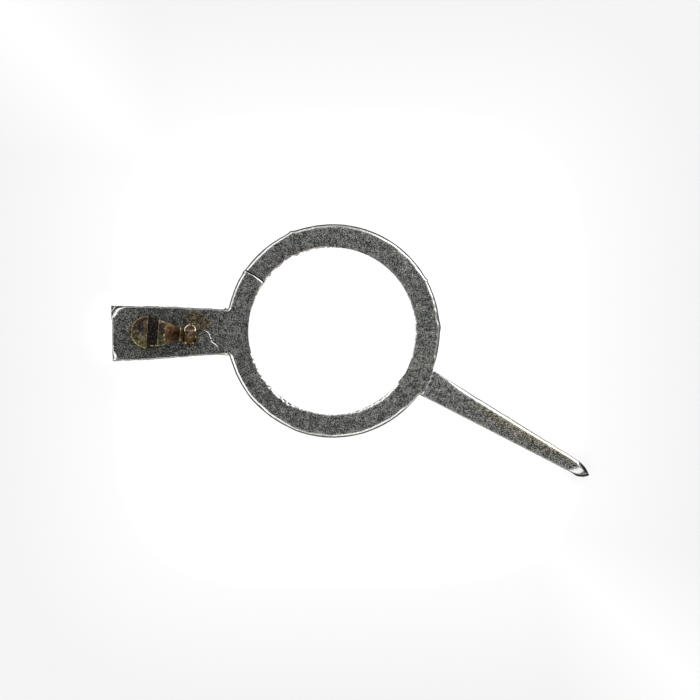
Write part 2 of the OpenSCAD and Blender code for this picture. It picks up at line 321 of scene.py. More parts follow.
def makeTurnedBrass():
    v = turnedBrassValues
    material, tree = startMaterial("turned_brass_tarnished")
    coords = addNode(tree, "TexCoord")
    local = addNode(tree, "Mapping", inputs={
        "Vector": coords.outputs["Object"], "Location": tuple(-pivot * mm)}).outputs[0]
    drawn = addNode(tree, "Mapping", inputs={"Vector": local, "Scale": (1.0, 0.4, 0.5)}).outputs[0]
    streak = addNode(tree, "TexNoise", inputs={
        "Vector": drawn, "Scale": 1 / (v["lineSize"] * mm), "Detail": 2.0, "Roughness": 0.6}).outputs["Fac"]
    patch = addNode(tree, "TexNoise", inputs={
        "Vector": local, "Scale": 1 / (v["patchSize"] * mm), "Detail": 3.0,
        "Roughness": 0.6}).outputs["Fac"]
    along, across, _ = addNode(tree, "SeparateXYZ", inputs={0: local}).outputs
    tone = addNode(tree, "Math", {"operation": "MULTIPLY_ADD"}, {
        0: patch, 1: v["patchWeight"], 2: streak}).outputs[0]
    brown = addNode(tree, "ValToRGB", {"stops": [
        (0.50, "#1f1912"), (0.72, "#5f5142"), (0.88, "#8e7c68"), (1.10, "#e6d6be")]},
        {"Fac": tone}).outputs[0]
    olive = addNode(tree, "ValToRGB", {"stops": [
        (0.50, "#454026"), (0.75, "#8c8659"), (1.10, "#ded8aa")]}, {"Fac": tone}).outputs[0]
    start, end = v["oliveTo"]
    side = addNode(tree, "MapRange", inputs={
        "Value": across, "From Min": start * mm, "From Max": end * mm}).outputs[0]
    blend = addNode(tree, "Math", {"operation": "MULTIPLY_ADD", "use_clamp": True}, {
        0: patch, 1: 2.0, 2: -1.0}).outputs[0]
    where = addNode(tree, "Math", {"operation": "ADD", "use_clamp": True}, {0: side, 1: blend}).outputs[0]
    base = addNode(tree, "MixRGB", inputs={0: where, 1: olive, 2: brown}).outputs[0]
    for spot, tint in v["blooms"]:
        bloom = addNode(tree, "MapRange", smooth, {
            "Value": spotDepth(tree, local, spot), "From Max": 0.5, "To Max": 0.6}).outputs[0]
        base = addNode(tree, "MixRGB", inputs={0: bloom, 1: base, 2: linearColour(tint)}).outputs[0]
    # between the slot and the nose the brass is darker
    start, end, strip = v["darkStrip"]
    darker = addNode(tree, "MapRange", inputs={
        "Value": along, "From Min": start * mm, "From Max": end * mm,
        "To Min": 1.0, "To Max": strip}).outputs[0]
    base = addNode(tree, "MixRGB", {"blend_type": "MULTIPLY"}, {0: 1.0, 1: base, 2: darker}).outputs[0]
    # bare metal on the arrises, worn through in places, and painted pale as their highlight lines, dimmer
    # towards -Y and towards the head's end
    upright = addNode(tree, "SeparateXYZ", inputs={0: coords.outputs["Normal"]}).outputs["Z"]
    flat, tilted, steepest, wall = [cos(radians(tilt)) for tilt in v["arrisTilt"]]
    turned = addNode(tree, "MapRange", smooth, {
        "Value": upright, "From Min": flat, "From Max": tilted}).outputs[0]
    steep = addNode(tree, "MapRange", smooth, {
        "Value": upright, "From Min": wall, "From Max": steepest}).outputs[0]
    arris = addNode(tree, "Math", {"operation": "MULTIPLY"}, {0: turned, 1: steep}).outputs[0]
    start, end, most = v["bareFrom"]
    worn = addNode(tree, "MapRange", inputs={
        "Value": patch, "From Min": start, "From Max": end, "To Max": most}).outputs[0]
    arris = addNode(tree, "Math", {"operation": "MULTIPLY"}, {0: arris, 1: worn}).outputs[0]
    lower = addNode(tree, "MapRange", inputs={"Value": side, "To Min": 0.25, "To Max": 1.0}).outputs[0]
    start, end, left = v["coveredFrom"]
    covered = addNode(tree, "MapRange", inputs={
        "Value": along, "From Min": start * mm, "From Max": end * mm,
        "To Min": 1.0, "To Max": left}).outputs[0]
    arris = addNode(tree, "Math", {"operation": "MULTIPLY"}, {0: arris, 1: lower}).outputs[0]
    arris = addNode(tree, "Math", {"operation": "MULTIPLY"}, {0: arris, 1: covered}).outputs[0]
    # rubbed spots, painted pale as glints on the edges
    rubbed = rubbedAndGlintSpots(tree, local)
    paleGlint = addNode(tree, "Math", {"operation": "ADD", "use_clamp": True}, {0: arris, 1: rubbed}).outputs[0]
    base = addNode(tree, "MixRGB", inputs={0: paleGlint, 1: base, 2: linearColour("#c4b892")}).outputs[0]
    bump = addNode(tree, "Bump", inputs={"Distance": v["lineHeight"] * mm, "Height": streak})
    bump = addNode(tree, "Bump", inputs={
        "Distance": v["dent"] * mm, "Height": rubbed, "Normal": bump.outputs[0]})
    finishMaterial(tree, {"Base Color": base, "Metallic": 1.0, "Roughness": v["roughness"],
                          "Normal": bump.outputs[0]})
    return material


# Dust and dried oil packed into the slot, and painted shade of the deep slot: nearly black and hardly
# shining
slotDirtAndShadeValues = {
    "lumpSize": 0.05,                # mm
    "lumpHeight": 0.004,             # mm
    "roughness": 0.7,
}


def makeSlotDirtAndShade():
    v = slotDirtAndShadeValues
    material, tree = startMaterial("dust_and_oil_packed")
    place = addNode(tree, "TexCoord").outputs["Object"]
    local = addNode(tree, "Mapping", inputs={"Vector": place, "Location": tuple(-pivot * mm)}).outputs[0]
    paleGlint = addNode(tree, "MapRange", smooth, {
        "Value": rubbedAndGlintSpots(tree, local), "From Max": 0.5}).outputs[0]
    lumps = addNode(tree, "TexNoise", inputs={
        "Vector": place, "Scale": 1 / (v["lumpSize"] * mm), "Detail": 3.0, "Roughness": 0.6}).outputs["Fac"]
    base = addNode(tree, "ValToRGB", {"stops": [
        (0.38, "#0d0a09"), (0.54, "#2a221c"), (0.70, "#625a54")]}, {"Fac": lumps}).outputs[0]
    # pale spots at the slot's end and rim: painted highlight
    base = addNode(tree, "MixRGB", inputs={0: paleGlint, 1: base, 2: linearColour("#b8a48c")}).outputs[0]
    bump = addNode(tree, "Bump", inputs={"Distance": v["lumpHeight"] * mm, "Height": lumps})
    finishMaterial(tree, {"Base Color": base, "Metallic": 0.0, "Roughness": v["roughness"], "IOR": 1.45,
                          "Specular IOR Level": 0.25, "Normal": bump.outputs[0]})
    return material


# The nose's brass, never rubbed, is red-brown, and towards its end, beside the pin, it is darkened with
# painted shade
brownBrassValues = {
    "patchSize": 0.06,               # mm
    "patchHeight": 0.002,            # mm
    "darkening": (0.42, 0.60),       # painted shade: mm from the pivot, where it starts and where it ends
    "roughness": 0.36,
}


def makeBrownBrass():
    v = brownBrassValues
    material, tree = startMaterial("brass_tarnished_red_brown")
    coords = addNode(tree, "TexCoord")
    local = addNode(tree, "Mapping", inputs={
        "Vector": coords.outputs["Object"], "Location": tuple(-pivot * mm)}).outputs[0]
    patch = addNode(tree, "TexNoise", inputs={
        "Vector": local, "Scale": 1 / (v["patchSize"] * mm), "Detail": 3.0,
        "Roughness": 0.6}).outputs["Fac"]
    along = addNode(tree, "SeparateXYZ", inputs={0: local}).outputs["X"]
    # painted shade: darker towards the nose's end, in beside the pin
    start, end = v["darkening"]
    darker = addNode(tree, "MapRange", inputs={
        "Value": along, "From Min": start * mm, "From Max": end * mm, "To Min": 0.10, "To Max": -0.10})
    shade = addNode(tree, "Math", {"operation": "ADD"}, {0: patch, 1: darker.outputs[0]}).outputs[0]
    base = addNode(tree, "ValToRGB", {"stops": [
        (0.35, "#2a2018"), (0.52, "#4a3826"), (0.66, "#654a36"), (0.85, "#8a6f52")]},
        {"Fac": shade}).outputs[0]
    bump = addNode(tree, "Bump", inputs={"Distance": v["patchHeight"] * mm, "Height": patch})
    finishMaterial(tree, {"Base Color": base, "Metallic": 1.0, "Roughness": v["roughness"],
                          "Normal": bump.outputs[0]})
    return material


# Drawn brass wire of the pin: brown, pitted at the cut tip, yellow towards its foot, with a painted
# highlight and painted shade on the tip's rim
wireBrassValues = {
    "pitSize": 0.045,                # mm
    "pitHeight": 0.003,              # mm
    "flankTilt": (50, 70),           # degrees over which the tip turns into the flank
    "rimTilt": (19, 24),             # and the tip's face into its rim
    "footReach": (0.05, 0.02),       # mm above the tail, where the golden foot ends and is full
    "beadHeight": 0.008,             # mm
    "roughness": 0.30,
    # ovals: a gap in the painted highlight on the tip's rim, and beads of old oil round the foot, painted
    # as glints
    "nick": (-2.820, 0.135, 0.024, 0.040, 0),
    "beads": [(-2.940, -0.216, 0.038, 0.026, -30), (-2.836, -0.236, 0.020, 0.024, 0),
              (-2.786, -0.222, 0.028, 0.026, 30)],
}


def makeWireBrass():
    v = wireBrassValues
    material, tree = startMaterial("drawn_brass_wire")
    coords = addNode(tree, "TexCoord")
    place = coords.outputs["Object"]
    pits = addNode(tree, "TexNoise", inputs={
        "Vector": place, "Scale": 1 / (v["pitSize"] * mm), "Detail": 3.0, "Roughness": 0.6}).outputs["Fac"]
    base = addNode(tree, "ValToRGB", {"stops": [
        (0.32, "#2a2118"), (0.48, "#5f5040"), (0.62, "#8a7864"), (0.80, "#c9bba2")]},
        {"Fac": pits}).outputs[0]
    _, leaning, upright = addNode(tree, "SeparateXYZ", inputs={0: coords.outputs["Normal"]}).outputs
    flank, rim = [addNode(tree, "MapRange", smooth, {
        "Value": upright, "From Min": cos(radians(first)), "From Max": cos(radians(last))}).outputs[0]
        for first, last in (v["flankTilt"], v["rimTilt"])]
    olive = addNode(tree, "MixRGB", {"blend_type": "MULTIPLY"}, {
        0: 1.0, 1: base, 2: linearColour("#f2cc94")}).outputs[0]
    base = addNode(tree, "MixRGB", inputs={0: flank, 1: base, 2: olive}).outputs[0]
    # the tip's rim: a painted highlight on its +Y side, broken by a gap, and painted shade round the rest
    rim = addNode(tree, "Math", {"operation": "SUBTRACT", "use_clamp": True}, {0: rim, 1: flank}).outputs[0]
    rimHighlightSide = addNode(tree, "MapRange", smooth, {
        "Value": leaning, "From Min": 0.12, "From Max": 0.30}).outputs[0]
    nick = addNode(tree, "MapRange", smooth, {
        "Value": spotDepth(tree, place, v["nick"]), "From Min": 0.45, "From Max": 0.0}).outputs[0]
    rimHighlightSide = addNode(tree, "Math", {"operation": "MULTIPLY"}, {0: rimHighlightSide, 1: nick}).outputs[0]
    rimTone = addNode(tree, "MixRGB", inputs={
        0: rimHighlightSide, 1: linearColour("#4a3e30"), 2: linearColour("#dccdb4")}).outputs[0]
    base = addNode(tree, "MixRGB", inputs={0: rim, 1: base, 2: rimTone}).outputs[0]
    # old oil has turned the foot golden brown
    ends, full = [(indexHigh.z + reach) * mm for reach in v["footReach"]]
    low = addNode(tree, "MapRange", smooth, {
        "Value": addNode(tree, "SeparateXYZ", inputs={0: place}).outputs["Z"],
        "From Min": ends, "From Max": full}).outputs[0]
    golden = addNode(tree, "MixRGB", {"blend_type": "MULTIPLY"}, {
        0: 1.0, 1: base, 2: linearColour("#c4ac7c")}).outputs[0]
    base = addNode(tree, "MixRGB", inputs={0: low, 1: base, 2: golden}).outputs[0]
    bump = addNode(tree, "Bump", inputs={"Distance": v["pitHeight"] * mm, "Height": pits})
    # beads of old oil round the foot: painted near-white glints, each over a small bump
    for spot in v["beads"]:
        beadGlint = addNode(tree, "MapRange", smooth, {
            "Value": spotDepth(tree, place, spot), "From Max": 0.6}).outputs[0]
        base = addNode(tree, "MixRGB", inputs={0: beadGlint, 1: base, 2: linearColour("#fff0c8")}).outputs[0]
        bump = addNode(tree, "Bump", inputs={
            "Distance": v["beadHeight"] * mm, "Height": beadGlint, "Normal": bump.outputs[0]})
    finishMaterial(tree, {"Base Color": base, "Metallic": 1.0, "Roughness": v["roughness"],
                          "Specular Tint": linearColour("#f8f0de"), "Normal": bump.outputs[0]})
    return material


stampedSteel = makeStampedSteel()
shearedSteel, lappedSteel, bareBrass = [makeFineMetal(values) for values in (
    shearedSteelValues, lappedSteelValues, bareBrassValues)]
turnedBrass = makeTurnedBrass()
slotDirtAndShade = makeSlotDirtAndShade()
brownBrass = makeBrownBrass()
wireBrass = makeWireBrass()
print("materials ready")


# Mesh helpers

def rolledDepth(width, radius):
    width = min(max(width, 0.0), 0.98 * radius)
    return radius - sqrt(radius * radius - width * width)


def eased(value):
    value = min(max(value, 0.0), 1.0)
    return value * value * (3 - 2 * value)


# The width of a roll whose start is drawn out softly
def softened(width, soft):
    return hypot(max(width, 0.0), soft) - soft


# A value eased from one to the next of a list of (place, value) pairs
def between(points, place):
    for (x0, v0), (x1, v1) in zip(points, points[1:]):
        if place < x1:
            return v0 + (v1 - v0) * eased((place - x0) / (x1 - x0))
    return points[-1][1]


def wander(size, x, y, seed=0.0):
    return noise.noise(Vector((x / size, y / size, seed)))


def growChain(bm, chain, placeVert, station):
    pairs = zip(chain, chain[1:])
    made = bmesh.ops.extrude_edge_only(bm, edges=[bm.edges.get(p) for p in pairs])["geom"]
    fresh = {g for g in made if isinstance(g, bmesh.types.BMVert)}
    grown = []
    for i, vert in enumerate(chain):
        partner = next(e.other_vert(vert) for e in vert.link_edges if e.other_vert(vert) in fresh)
        partner.co = placeVert(i, station)
        grown.append(partner)
    return grown


# Points are merged in the order of their places, as their order in the mesh changes from run to run
def mergeClose(bm, reach):
    verts = sorted(bm.verts, key=lambda vert: vert.co.to_tuple(4))
    tree = kdtree.KDTree(len(verts))
    for i, vert in enumerate(verts):
        tree.insert(vert.co, i)
    tree.balance()
    targets = {}
    for i, vert in enumerate(verts):
        if vert not in targets:
            close = (verts[found[1]] for found in tree.find_range(vert.co, reach) if found[1] > i)
            targets.update((other, vert) for other in close if other not in targets)
    bmesh.ops.weld_verts(bm, targetmap=targets)


def openEdges(bm):
    return sum(1 for edge in bm.edges if not edge.is_manifold)


def bmeshFromObject(source):
    evaluated = source.evaluated_get(bpy.context.evaluated_depsgraph_get())
    bm = bmesh.new()
    bm.from_mesh(evaluated.to_mesh())
    evaluated.to_mesh_clear()
    return bm


def temporaryObject(bm, name):
    mesh = bpy.data.meshes.new(name)
    bm.to_mesh(mesh)
    bm.free()
    made = bpy.data.objects.new(name, mesh)
    bpy.context.collection.objects.link(made)
    return made


def combined(bm, other, operation):
    body = temporaryObject(bm, "shapeBody")
    tool = temporaryObject(other, "shapeTool")
    modifier = body.modifiers.new("shape", "BOOLEAN")
    modifier.operation = operation
    modifier.solver = "EXACT"
    modifier.object = tool
    result = bmeshFromObject(body)
    for used in (body, tool):
        mesh = used.data
        bpy.data.objects.remove(used)
        bpy.data.meshes.remove(mesh)
    return result


def drum(radius, low, high, centre, segments=64):
    bm = bmesh.new()
    bmesh.ops.create_cone(bm, cap_ends=True, segments=segments, radius1=radius, radius2=radius,
                          depth=high - low)
    bmesh.ops.translate(bm, verts=bm.verts, vec=(centre.x, centre.y, (low + high) / 2))
    return bm


def lathe(profile, steps=72):
    bm = bmesh.new()
    verts = [bm.verts.new((radius, 0.0, height)) for radius, height in profile]
    edges = [bm.edges.new(pair) for pair in zip(verts, verts[1:])]
    bmesh.ops.spin(bm, geom=verts + edges, cent=(0, 0, 0), axis=(0, 0, 1), dvec=(0, 0, 0),
                   angle=2 * pi, steps=steps, use_merge=True, use_duplicate=False)
    bmesh.ops.remove_doubles(bm, verts=bm.verts, dist=1e-5)
    bmesh.ops.recalc_face_normals(bm, faces=bm.faces)
    return bm


def finishPiece(bm, name, body, materials, sharpAngle=35):
    bmesh.ops.scale(bm, verts=bm.verts, vec=(mm, mm, mm))
    mesh = bpy.data.meshes.new(name)
    bm.to_mesh(mesh)
    bm.free()
    for material in materials:
        mesh.materials.append(material)
    mesh.shade_smooth()
    mesh.set_sharp_from_angle(angle=radians(sharpAngle))
    piece = bpy.data.objects.new(name, mesh)
    bpy.context.collection.objects.link(piece)
    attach(piece, body)
    return piece


# Index: the split ring, its tail and its pointer, one stamping

ring = {
    "thickness": indexHigh.z,
    "rim": indexHigh.y + 0.006,      # outside radius
    "rimShift": (0.015, -19),        # the die's wear: rim and bore aren't quite round one centre
    # bearings and how far the rim stands out there, in mm
    "rimWear": [(0, 0.0), (100, 0.0), (110, 0.009), (120, 0.004), (140, 0.004), (150, 0.009),
                (162, 0.0), (190, 0.0), (198, -0.013), (212, -0.013), (219, -0.005),
                (228, -0.013), (243, -0.013), (252, 0.0), (360, 0.0)],
    "bore": seat["dims"]["r_mm"] - 0.020,
    "boreShift": (0.005, 240),
    "rimRoll": 0.088,                # width of the rolled edge round the outside
    # bearings and the width of the rolled edge inside
    "boreRoll": [(0, 0.046), (75, 0.033), (165, 0.046), (215, 0.058), (238, 0.076), (252, 0.047),
                 (272, 0.047), (298, 0.080), (312, 0.078), (335, 0.050), (360, 0.046)],
    "rollRadius": 0.12,
    "pointerSide": 7,                # degrees from the pointer's line to its +Y side
    # where the outside's roll is lost beside the pointer: degrees past that side, reach and share
    "rollLost": [(2, 5, 0.8), (-18, 6, 0.35)],
    "rollUnevenness": 0.16,          # share of the roll's width that comes and goes
    "arris": 0.027,                  # width of the last, steep bit of every outer edge
    "slitWidth": 0.030,
    "slit": (144.14, 0.66, 1.9),     # its bearing at the bore, by how much it turns to the rim, its bow
    "slitLean": 0.045,               # how far the slit has run over by the far side
    "leanReach": (0.25, 2.3),        # mm from the slit that lean with it, and out to which radius
    "lipRoll": 0.056,
    "lipNarrowing": 0.45,            # share of its width that the lip's roll loses towards the rim
    "lipRadius": 0.11,
    "boreWear": [(0, 0.0), (160, 0.0), (170, 0.008), (190, 0.011), (198, 0.0), (234, 0.0), (240, 0.010),
                 (246, 0.0), (270, 0.006), (284, 0.006), (292, 0.0), (322, 0.0), (330, 0.020),
                 (338, 0.009), (346, 0.0), (360, 0.0)],
    "torn": (86, 152, 8),            # bearings between which the bore is torn, and how far it fades
    "tear": (0.004, 0.032, 0.006),   # its raggedness elsewhere, what is added there, and a lift
    # the wall under the rolled edge is torn: up to this height, fading over, how rough, and a sink
    "wallTear": (0.16, 0.06, 0.005, 0.3),
    "pitch": 0.024,                  # mesh pitch along the rim
    "armPitch": 0.02,
    "burrs": [(112.3, 1.5, 0.025), (27.9, 0.45, 0.024), (1.6, 2.2, 0.020),  # angle, spread, height
              (145.4, 0.6, 0.014)],
}
tail = {
    "reach": -indexLow.x,
    "endWidth": 1.125,
    "rootWidth": 0.905,
    "offset": -0.006,
    "rolls": (0.046, 0.010, 0.026),  # width along the +Y side, the -Y side and the end
    "rollRadius": 0.14,
    "corner": (0.078, 0.112, 0.13),  # the +Y corner: radius of the flat's, width and radius of its roll
    "cornerLegs": (0.31, 0.15),      # how far from the corner that roll lasts, fading over the second
    "cornerLedge": 0.122,            # width past which the corner is pressed down level
    "cornerShift": 0.016,            # how much further in it lies on the end's side
    "cornerArris": 0.008,
    "cornerBulge": 0.018,
    # the -Y corner is pressed down past a line: its end inset at the side inset, and its slant
    "pressed": (0.098, 0.14, 0.58),
    "pressedDepth": (0.112, 0.13),
    "pressedFades": (0.085, 0.18),    # towards the side, and past the line's end
    # mm from the ring's centre and how far the +Y side and the -Y side stand out there
    "sideWear": ([(2.2, -0.008), (2.45, 0.003), (2.65, 0.0), (3.25, 0.010), (3.45, 0.008),
                  (3.65, 0.001), (3.85, -0.010), (4.2, -0.016), (4.4, -0.016)],
                 [(2.2, -0.004), (2.65, -0.009), (3.0, 0.0), (3.45, 0.006), (3.75, 0.013),
                  (4.0, 0.011), (4.2, 0.003), (4.4, 0.0)]),
    "fillet": 0.05,
    "stepRadius": 2.34,              # the ring's face ends here, a few microns above the tail's
    "stepDepth": 0.004,
    "stepWidth": 0.03,
    "pitch": 0.03,
    "edgeWander": 0.011,
}
pointer = {
    "turn": radians(-30),
    "reach": indexHigh.x / cos(radians(30)),
    "rootWidth": 0.55,
    "endWidth": 0.27,
    "pointLength": 0.28,
    "offset": 0.025,
    "relief": 0.04,
    "rolls": (0.060, 0.042),         # width along the upper side and the lower
    "leastRoll": 0.012,              # the upper one's width at its start
    "droop": (0.19, 0.6),            # the upper side falls away gently as well: width and radius
    "rollGrowth": (2.22, 0.7),       # where the upper one starts to grow, and over what length
    "rollRadius": 0.128,
    "rollSoftness": 0.03,
    "arrises": (0.016, 0.02),        # upper and lower side
    "arrisFade": (4.6, 0.6, 0.35),   # where the upper one starts to narrow, over what length, share
    "facing": radians(-38),          # the tip's facet looks this far off the pointer's line
    "facetStart": 4.326,             # mm from the ring's centre, in that direction
    "facetRadius": 0.36,
    "facetWidth": 0.24,
    "tipChamfers": (0.085, 0.03),    # width of the steep edge round the tip, upper and lower side
    "chamferSlope": radians(44),
    "chamferGrowth": (0.06, 0.14),   # how far before the arch they start, and over what length
    "blunt": 0.003,
    "tipWear": (0.022, -0.018),      # how much the tip is worn back, upper and lower side
    "wearGrowth": (0.10, 0.22),
    "shoulder": 2.18,                # where the ring's face starts to drop to the pointer's
    "shoulderWidth": 0.026,
    "shoulderRagged": (0.016, 0.05),   # how far its line wanders, and how much it slants
    "shoulderStep": 0.22,            # share of the relief that is a step, and the rest a ramp
    "rampLength": 0.6,
    "fillet": 0.04,
    "pitch": 0.035,
    "edgeWander": 0.005,
}
holes = {
    "post": 0.18,
    "sink": (0.25, 0.09),            # room for the post's riveted end: radius and depth
    "over": 0.02,                    # how far the cutting shapes stand out of the blank
    "mergeWithin": 0.0018,           # points that a cut leaves this close together become one
}
pin = {
    "radius": 0.125,
    "foot": Vector((-2.86, -0.13, 0)),
    "lean": 14.0,                    # degrees, back towards +Y
    "sideLean": 1.8,                 # degrees, towards the ring
    "top": pinHigh.z,
    "rivetRadius": 0.185,
    "rivetDepth": 0.08,
    "rounding": 0.030,
    "sides": 56,
}
tail["slope"] = atan((tail["endWidth"] - tail["rootWidth"]) / 2 / (tail["reach"] - ring["rim"]))
pointer["start"] = pointer["reach"] - pointer["pointLength"]
pointer["slope"] = atan((pointer["endWidth"] - pointer["rootWidth"]) / 2
                        / (pointer["start"] - ring["rim"]))


def pointerArch():
    half, length, slope = pointer["endWidth"] / 2, pointer["pointLength"], -pointer["slope"]
    radius = (length * length + half * half) / 2 / (half * cos(slope) - length * sin(slope))
    return radius, pointer["start"] - radius * sin(slope), half - radius * cos(slope)


archRadius, archX, archY = pointerArch()


def tailHalf(along):
    return tail["rootWidth"] / 2 + (along - ring["rim"]) * tan(tail["slope"])


def pointerHalf(along):
    if along <= pointer["start"]:
        return pointer["rootWidth"] / 2 + (along - ring["rim"]) * tan(pointer["slope"])
    arch = max(archY + sqrt(max(archRadius ** 2 - (along - archX) ** 2, 0.0)), 0.0)
    blunt = eased((along - pointer["start"]) / 0.2) * pointer["blunt"]
    return sqrt(arch * arch + 2 * blunt * max(pointer["reach"] - along, 0.0))


def arrisDepth(side, width):
    return rolledDepth(width - side, 1.03 * width)


# The slit isn't quite radial, and bows a little towards the pointer's side
def slitAngle(radius):
    share = (radius - ring["bore"]) / (ring["rim"] - ring["bore"])
    atBore, turn, bow = ring["slit"]
    return radians(atBore + turn * share - bow * share * (1 - share))


def shifted(radius, angle):
    share = (ring["rim"] - radius) / (ring["rim"] - ring["bore"])
    outward, toward = ring["rimShift"]
    inward, away = ring["boreShift"]
    return radius + (1 - share) * outward * cos(angle - radians(toward)) \
        + share * inward * cos(angle - radians(away))


def ringHeight(radius, angle):
    rimX, rimY = ring["rim"] * cos(angle), ring["rim"] * sin(angle)
    uneven = 1 + ring["rollUnevenness"] * (wander(0.35, rimX, rimY) + 0.6 * wander(0.1, rimX, rimY))
    fromPointerSide = (angle - pointer["turn"] - radians(ring["pointerSide"]) + pi) % (2 * pi) - pi
    kept = 1.0
    for middle, reach, lost in ring["rollLost"]:
        kept -= lost * eased(1.6 - abs(fromPointerSide - radians(middle)) / radians(reach))
    outer = radius - (ring["rim"] - ring["rimRoll"] * uneven * kept)
    height = ring["thickness"] - rolledDepth(outer, ring["rollRadius"])
    height -= arrisDepth(ring["rim"] - radius, ring["arris"] * (0.4 + 0.6 * kept))
    boreRoll = between(ring["boreRoll"], degrees(angle) % 360) * (1 + 0.5 * wander(0.06, rimX, rimY, 2.0))
    height -= rolledDepth(ring["bore"] + boreRoll - radius, ring["rollRadius"])
    slit = slitAngle(radius)
    fromLip = radius * sin(angle - slit) - ring["slitWidth"] / 2
    if -1e-6 <= fromLip < ring["lipRoll"] and cos(angle - slit) > 0:
        narrowed = 1 - ring["lipNarrowing"] * (radius - ring["bore"]) / (ring["rim"] - ring["bore"])
        height -= rolledDepth(ring["lipRoll"] * narrowed - fromLip, ring["lipRadius"])
    return height


def tailHeight(along, across):
    side = (tailHalf(along) - abs(across)) * cos(tail["slope"])
    end = tail["reach"] - along
    upper = across > 0
    roll = tail["rolls"][2]
    if side < end:
        roll = tail["rolls"][0 if upper else 1] * (1 + 0.5 * wander(0.12, along, across, 15.0))
    radius, rounded = tail["rollRadius"], 0.0
    arris = ring["arris"] if end > side else 0.8 * ring["arris"]
    edge = min(side, end)
    if upper:
        corner, cornerRoll, cornerRadius = tail["corner"]
        reach, fade = tail["cornerLegs"]
        near = eased((reach - max(side, end)) / fade)
        roll += (cornerRoll - roll) * near
        radius += (cornerRadius - radius) * near
        rounded = corner * near
        arris += (tail["cornerArris"] - arris) * near
        end -= tail["cornerShift"] * near
    inset = rounded + roll
    if side < inset and end < inset:
        width = hypot(inset - side, inset - end) - rounded
    else:
        width = roll - min(side, end)
    height = ring["thickness"] - rolledDepth(min(width, tail["cornerLedge"]), radius)
    if not upper:
        endInset, sideInset, slant = tail["pressed"]
        widest, pressRadius = tail["pressedDepth"]
        beyond = (endInset + slant * (sideInset - side) - end) * cos(atan(slant))
        toSide, toEnd = tail["pressedFades"]
        share = min(1.0, side / toSide) * eased(1 - (side - sideInset) / toEnd)
        height -= rolledDepth(min(beyond, widest), pressRadius) * share
    height -= arrisDepth(edge, arris)
    step = eased((hypot(along, across) - tail["stepRadius"]) / tail["stepWidth"])
    return height - tail["stepDepth"] * step


def pointerHeight(along, across):
    side = pointerHalf(along) - abs(across)
    roll, droop = pointer["rolls"][1], 0.0
    if across > 0:
        start, length = pointer["rollGrowth"]
        grown = eased((along - start) / length)
        roll = pointer["leastRoll"] + (pointer["rolls"][0] - pointer["leastRoll"]) * grown
        width, radius = pointer["droop"]
        droop = rolledDepth(min(width, pointerHalf(along)) - side, radius) * grown
    before, length = pointer["chamferGrowth"]
    nearTip = eased((along - pointer["start"] + before) / length)
    chamfer = pointer["tipChamfers"][0 if across > 0 else 1]
    soft = pointer["rollSoftness"] if across > 0 else 0.0
    edge = rolledDepth(softened(roll + soft - side, soft), pointer["rollRadius"])
    arris = pointer["arrises"][0 if across > 0 else 1]
    if across > 0:
        start, length, narrowing = pointer["arrisFade"]
        arris *= 1 - narrowing * eased((along - start) / length)
    edge = (1 - nearTip) * (edge + droop + arrisDepth(side, arris))
    edge += nearTip * max(chamfer - side, 0.0) * tan(pointer["chamferSlope"])
    facing = pointer["facing"]
    reached = along * cos(facing) + across * sin(facing) - pointer["facetStart"]
    facet = rolledDepth(min(reached, pointer["facetWidth"]), pointer["facetRadius"])
    facet += max(reached - pointer["facetWidth"], 0.0)
    wandering, slant = pointer["shoulderRagged"]
    ragged = wandering * wander(0.06, along, across, 5.0) + slant * across
    beyond = hypot(along, across) + ragged - pointer["shoulder"]
    step = pointer["shoulderStep"] * (0.9 + 0.9 * wander(0.04, along, across, 6.0))
    drop = step * eased(beyond / pointer["shoulderWidth"])
    drop += (1 - step) * eased(beyond / pointer["rampLength"])
    return ring["thickness"] - pointer["relief"] * drop - edge - facet


# Angle from an arm's line to its +Y side (side 1) or its -Y side (side -1) at a radius
def sideAngle(radius, arm, side):
    slope = arm["slope"]
    base = arm["rootWidth"] / 2 - ring["rim"] * tan(slope) + side * arm["offset"]
    return slope + asin(base * cos(slope) / radius)


# The ring's grid runs anticlockwise from the slit's lip nearer the tail to its other lip.
# Keys are the angles that a column of vertices has to follow. Between them the columns are spread
# evenly, and starts holds the first column of each span.
def ringKeys(radius):
    slit = slitAngle(radius)
    gap = asin(ring["slitWidth"] / 2 / radius)
    lip = asin((ring["slitWidth"] / 2 + ring["lipRoll"] + 0.005) / radius)
    ramp = 0.006 / ring["rim"]
    tailFrom, tailTo = pi - sideAngle(radius, tail, 1), pi + sideAngle(radius, tail, -1)
    pointerFrom = 2 * pi + pointer["turn"] - sideAngle(radius, pointer, -1)
    pointerTo = 2 * pi + pointer["turn"] + sideAngle(radius, pointer, 1)
    return [slit + gap, slit + lip, tailFrom - ramp, tailFrom, tailTo, tailTo + ramp,
            pointerFrom - ramp, pointerFrom, pointerTo, pointerTo + ramp, 2 * pi + slit - gap]


def ringColumns():
    keys = ringKeys(ring["rim"])
    counts = [ceil((b - a) * ring["rim"] / ring["pitch"]) for a, b in zip(keys, keys[1:])]
    counts[0] = 6
    for span in (3, 7):
        counts[span] = ceil((keys[span + 1] - keys[span]) * ring["rim"] / ring["armPitch"])
    starts = [sum(counts[:i]) for i in range(len(counts) + 1)]
    return starts


firstRimRow = -12                    # the last 12 rows follow the rolled edge round the outside


def ringRows():
    boreSteps = [0, 0.009, 0.019, 0.030, 0.042, 0.056, 0.074]
    rimSteps = [0.094, 0.082, 0.071, 0.060, 0.050, 0.040, 0.030, 0.022, 0.016, 0.010, 0.004, 0]
    flatIn, flatOut = ring["bore"] + boreSteps[-1], ring["rim"] - rimSteps[0]
    rows = [ring["bore"] + step for step in boreSteps]
    rows += [flatIn + (flatOut - flatIn) * i / 6 for i in range(1, 6)]
    return rows + [ring["rim"] - step for step in rimSteps]


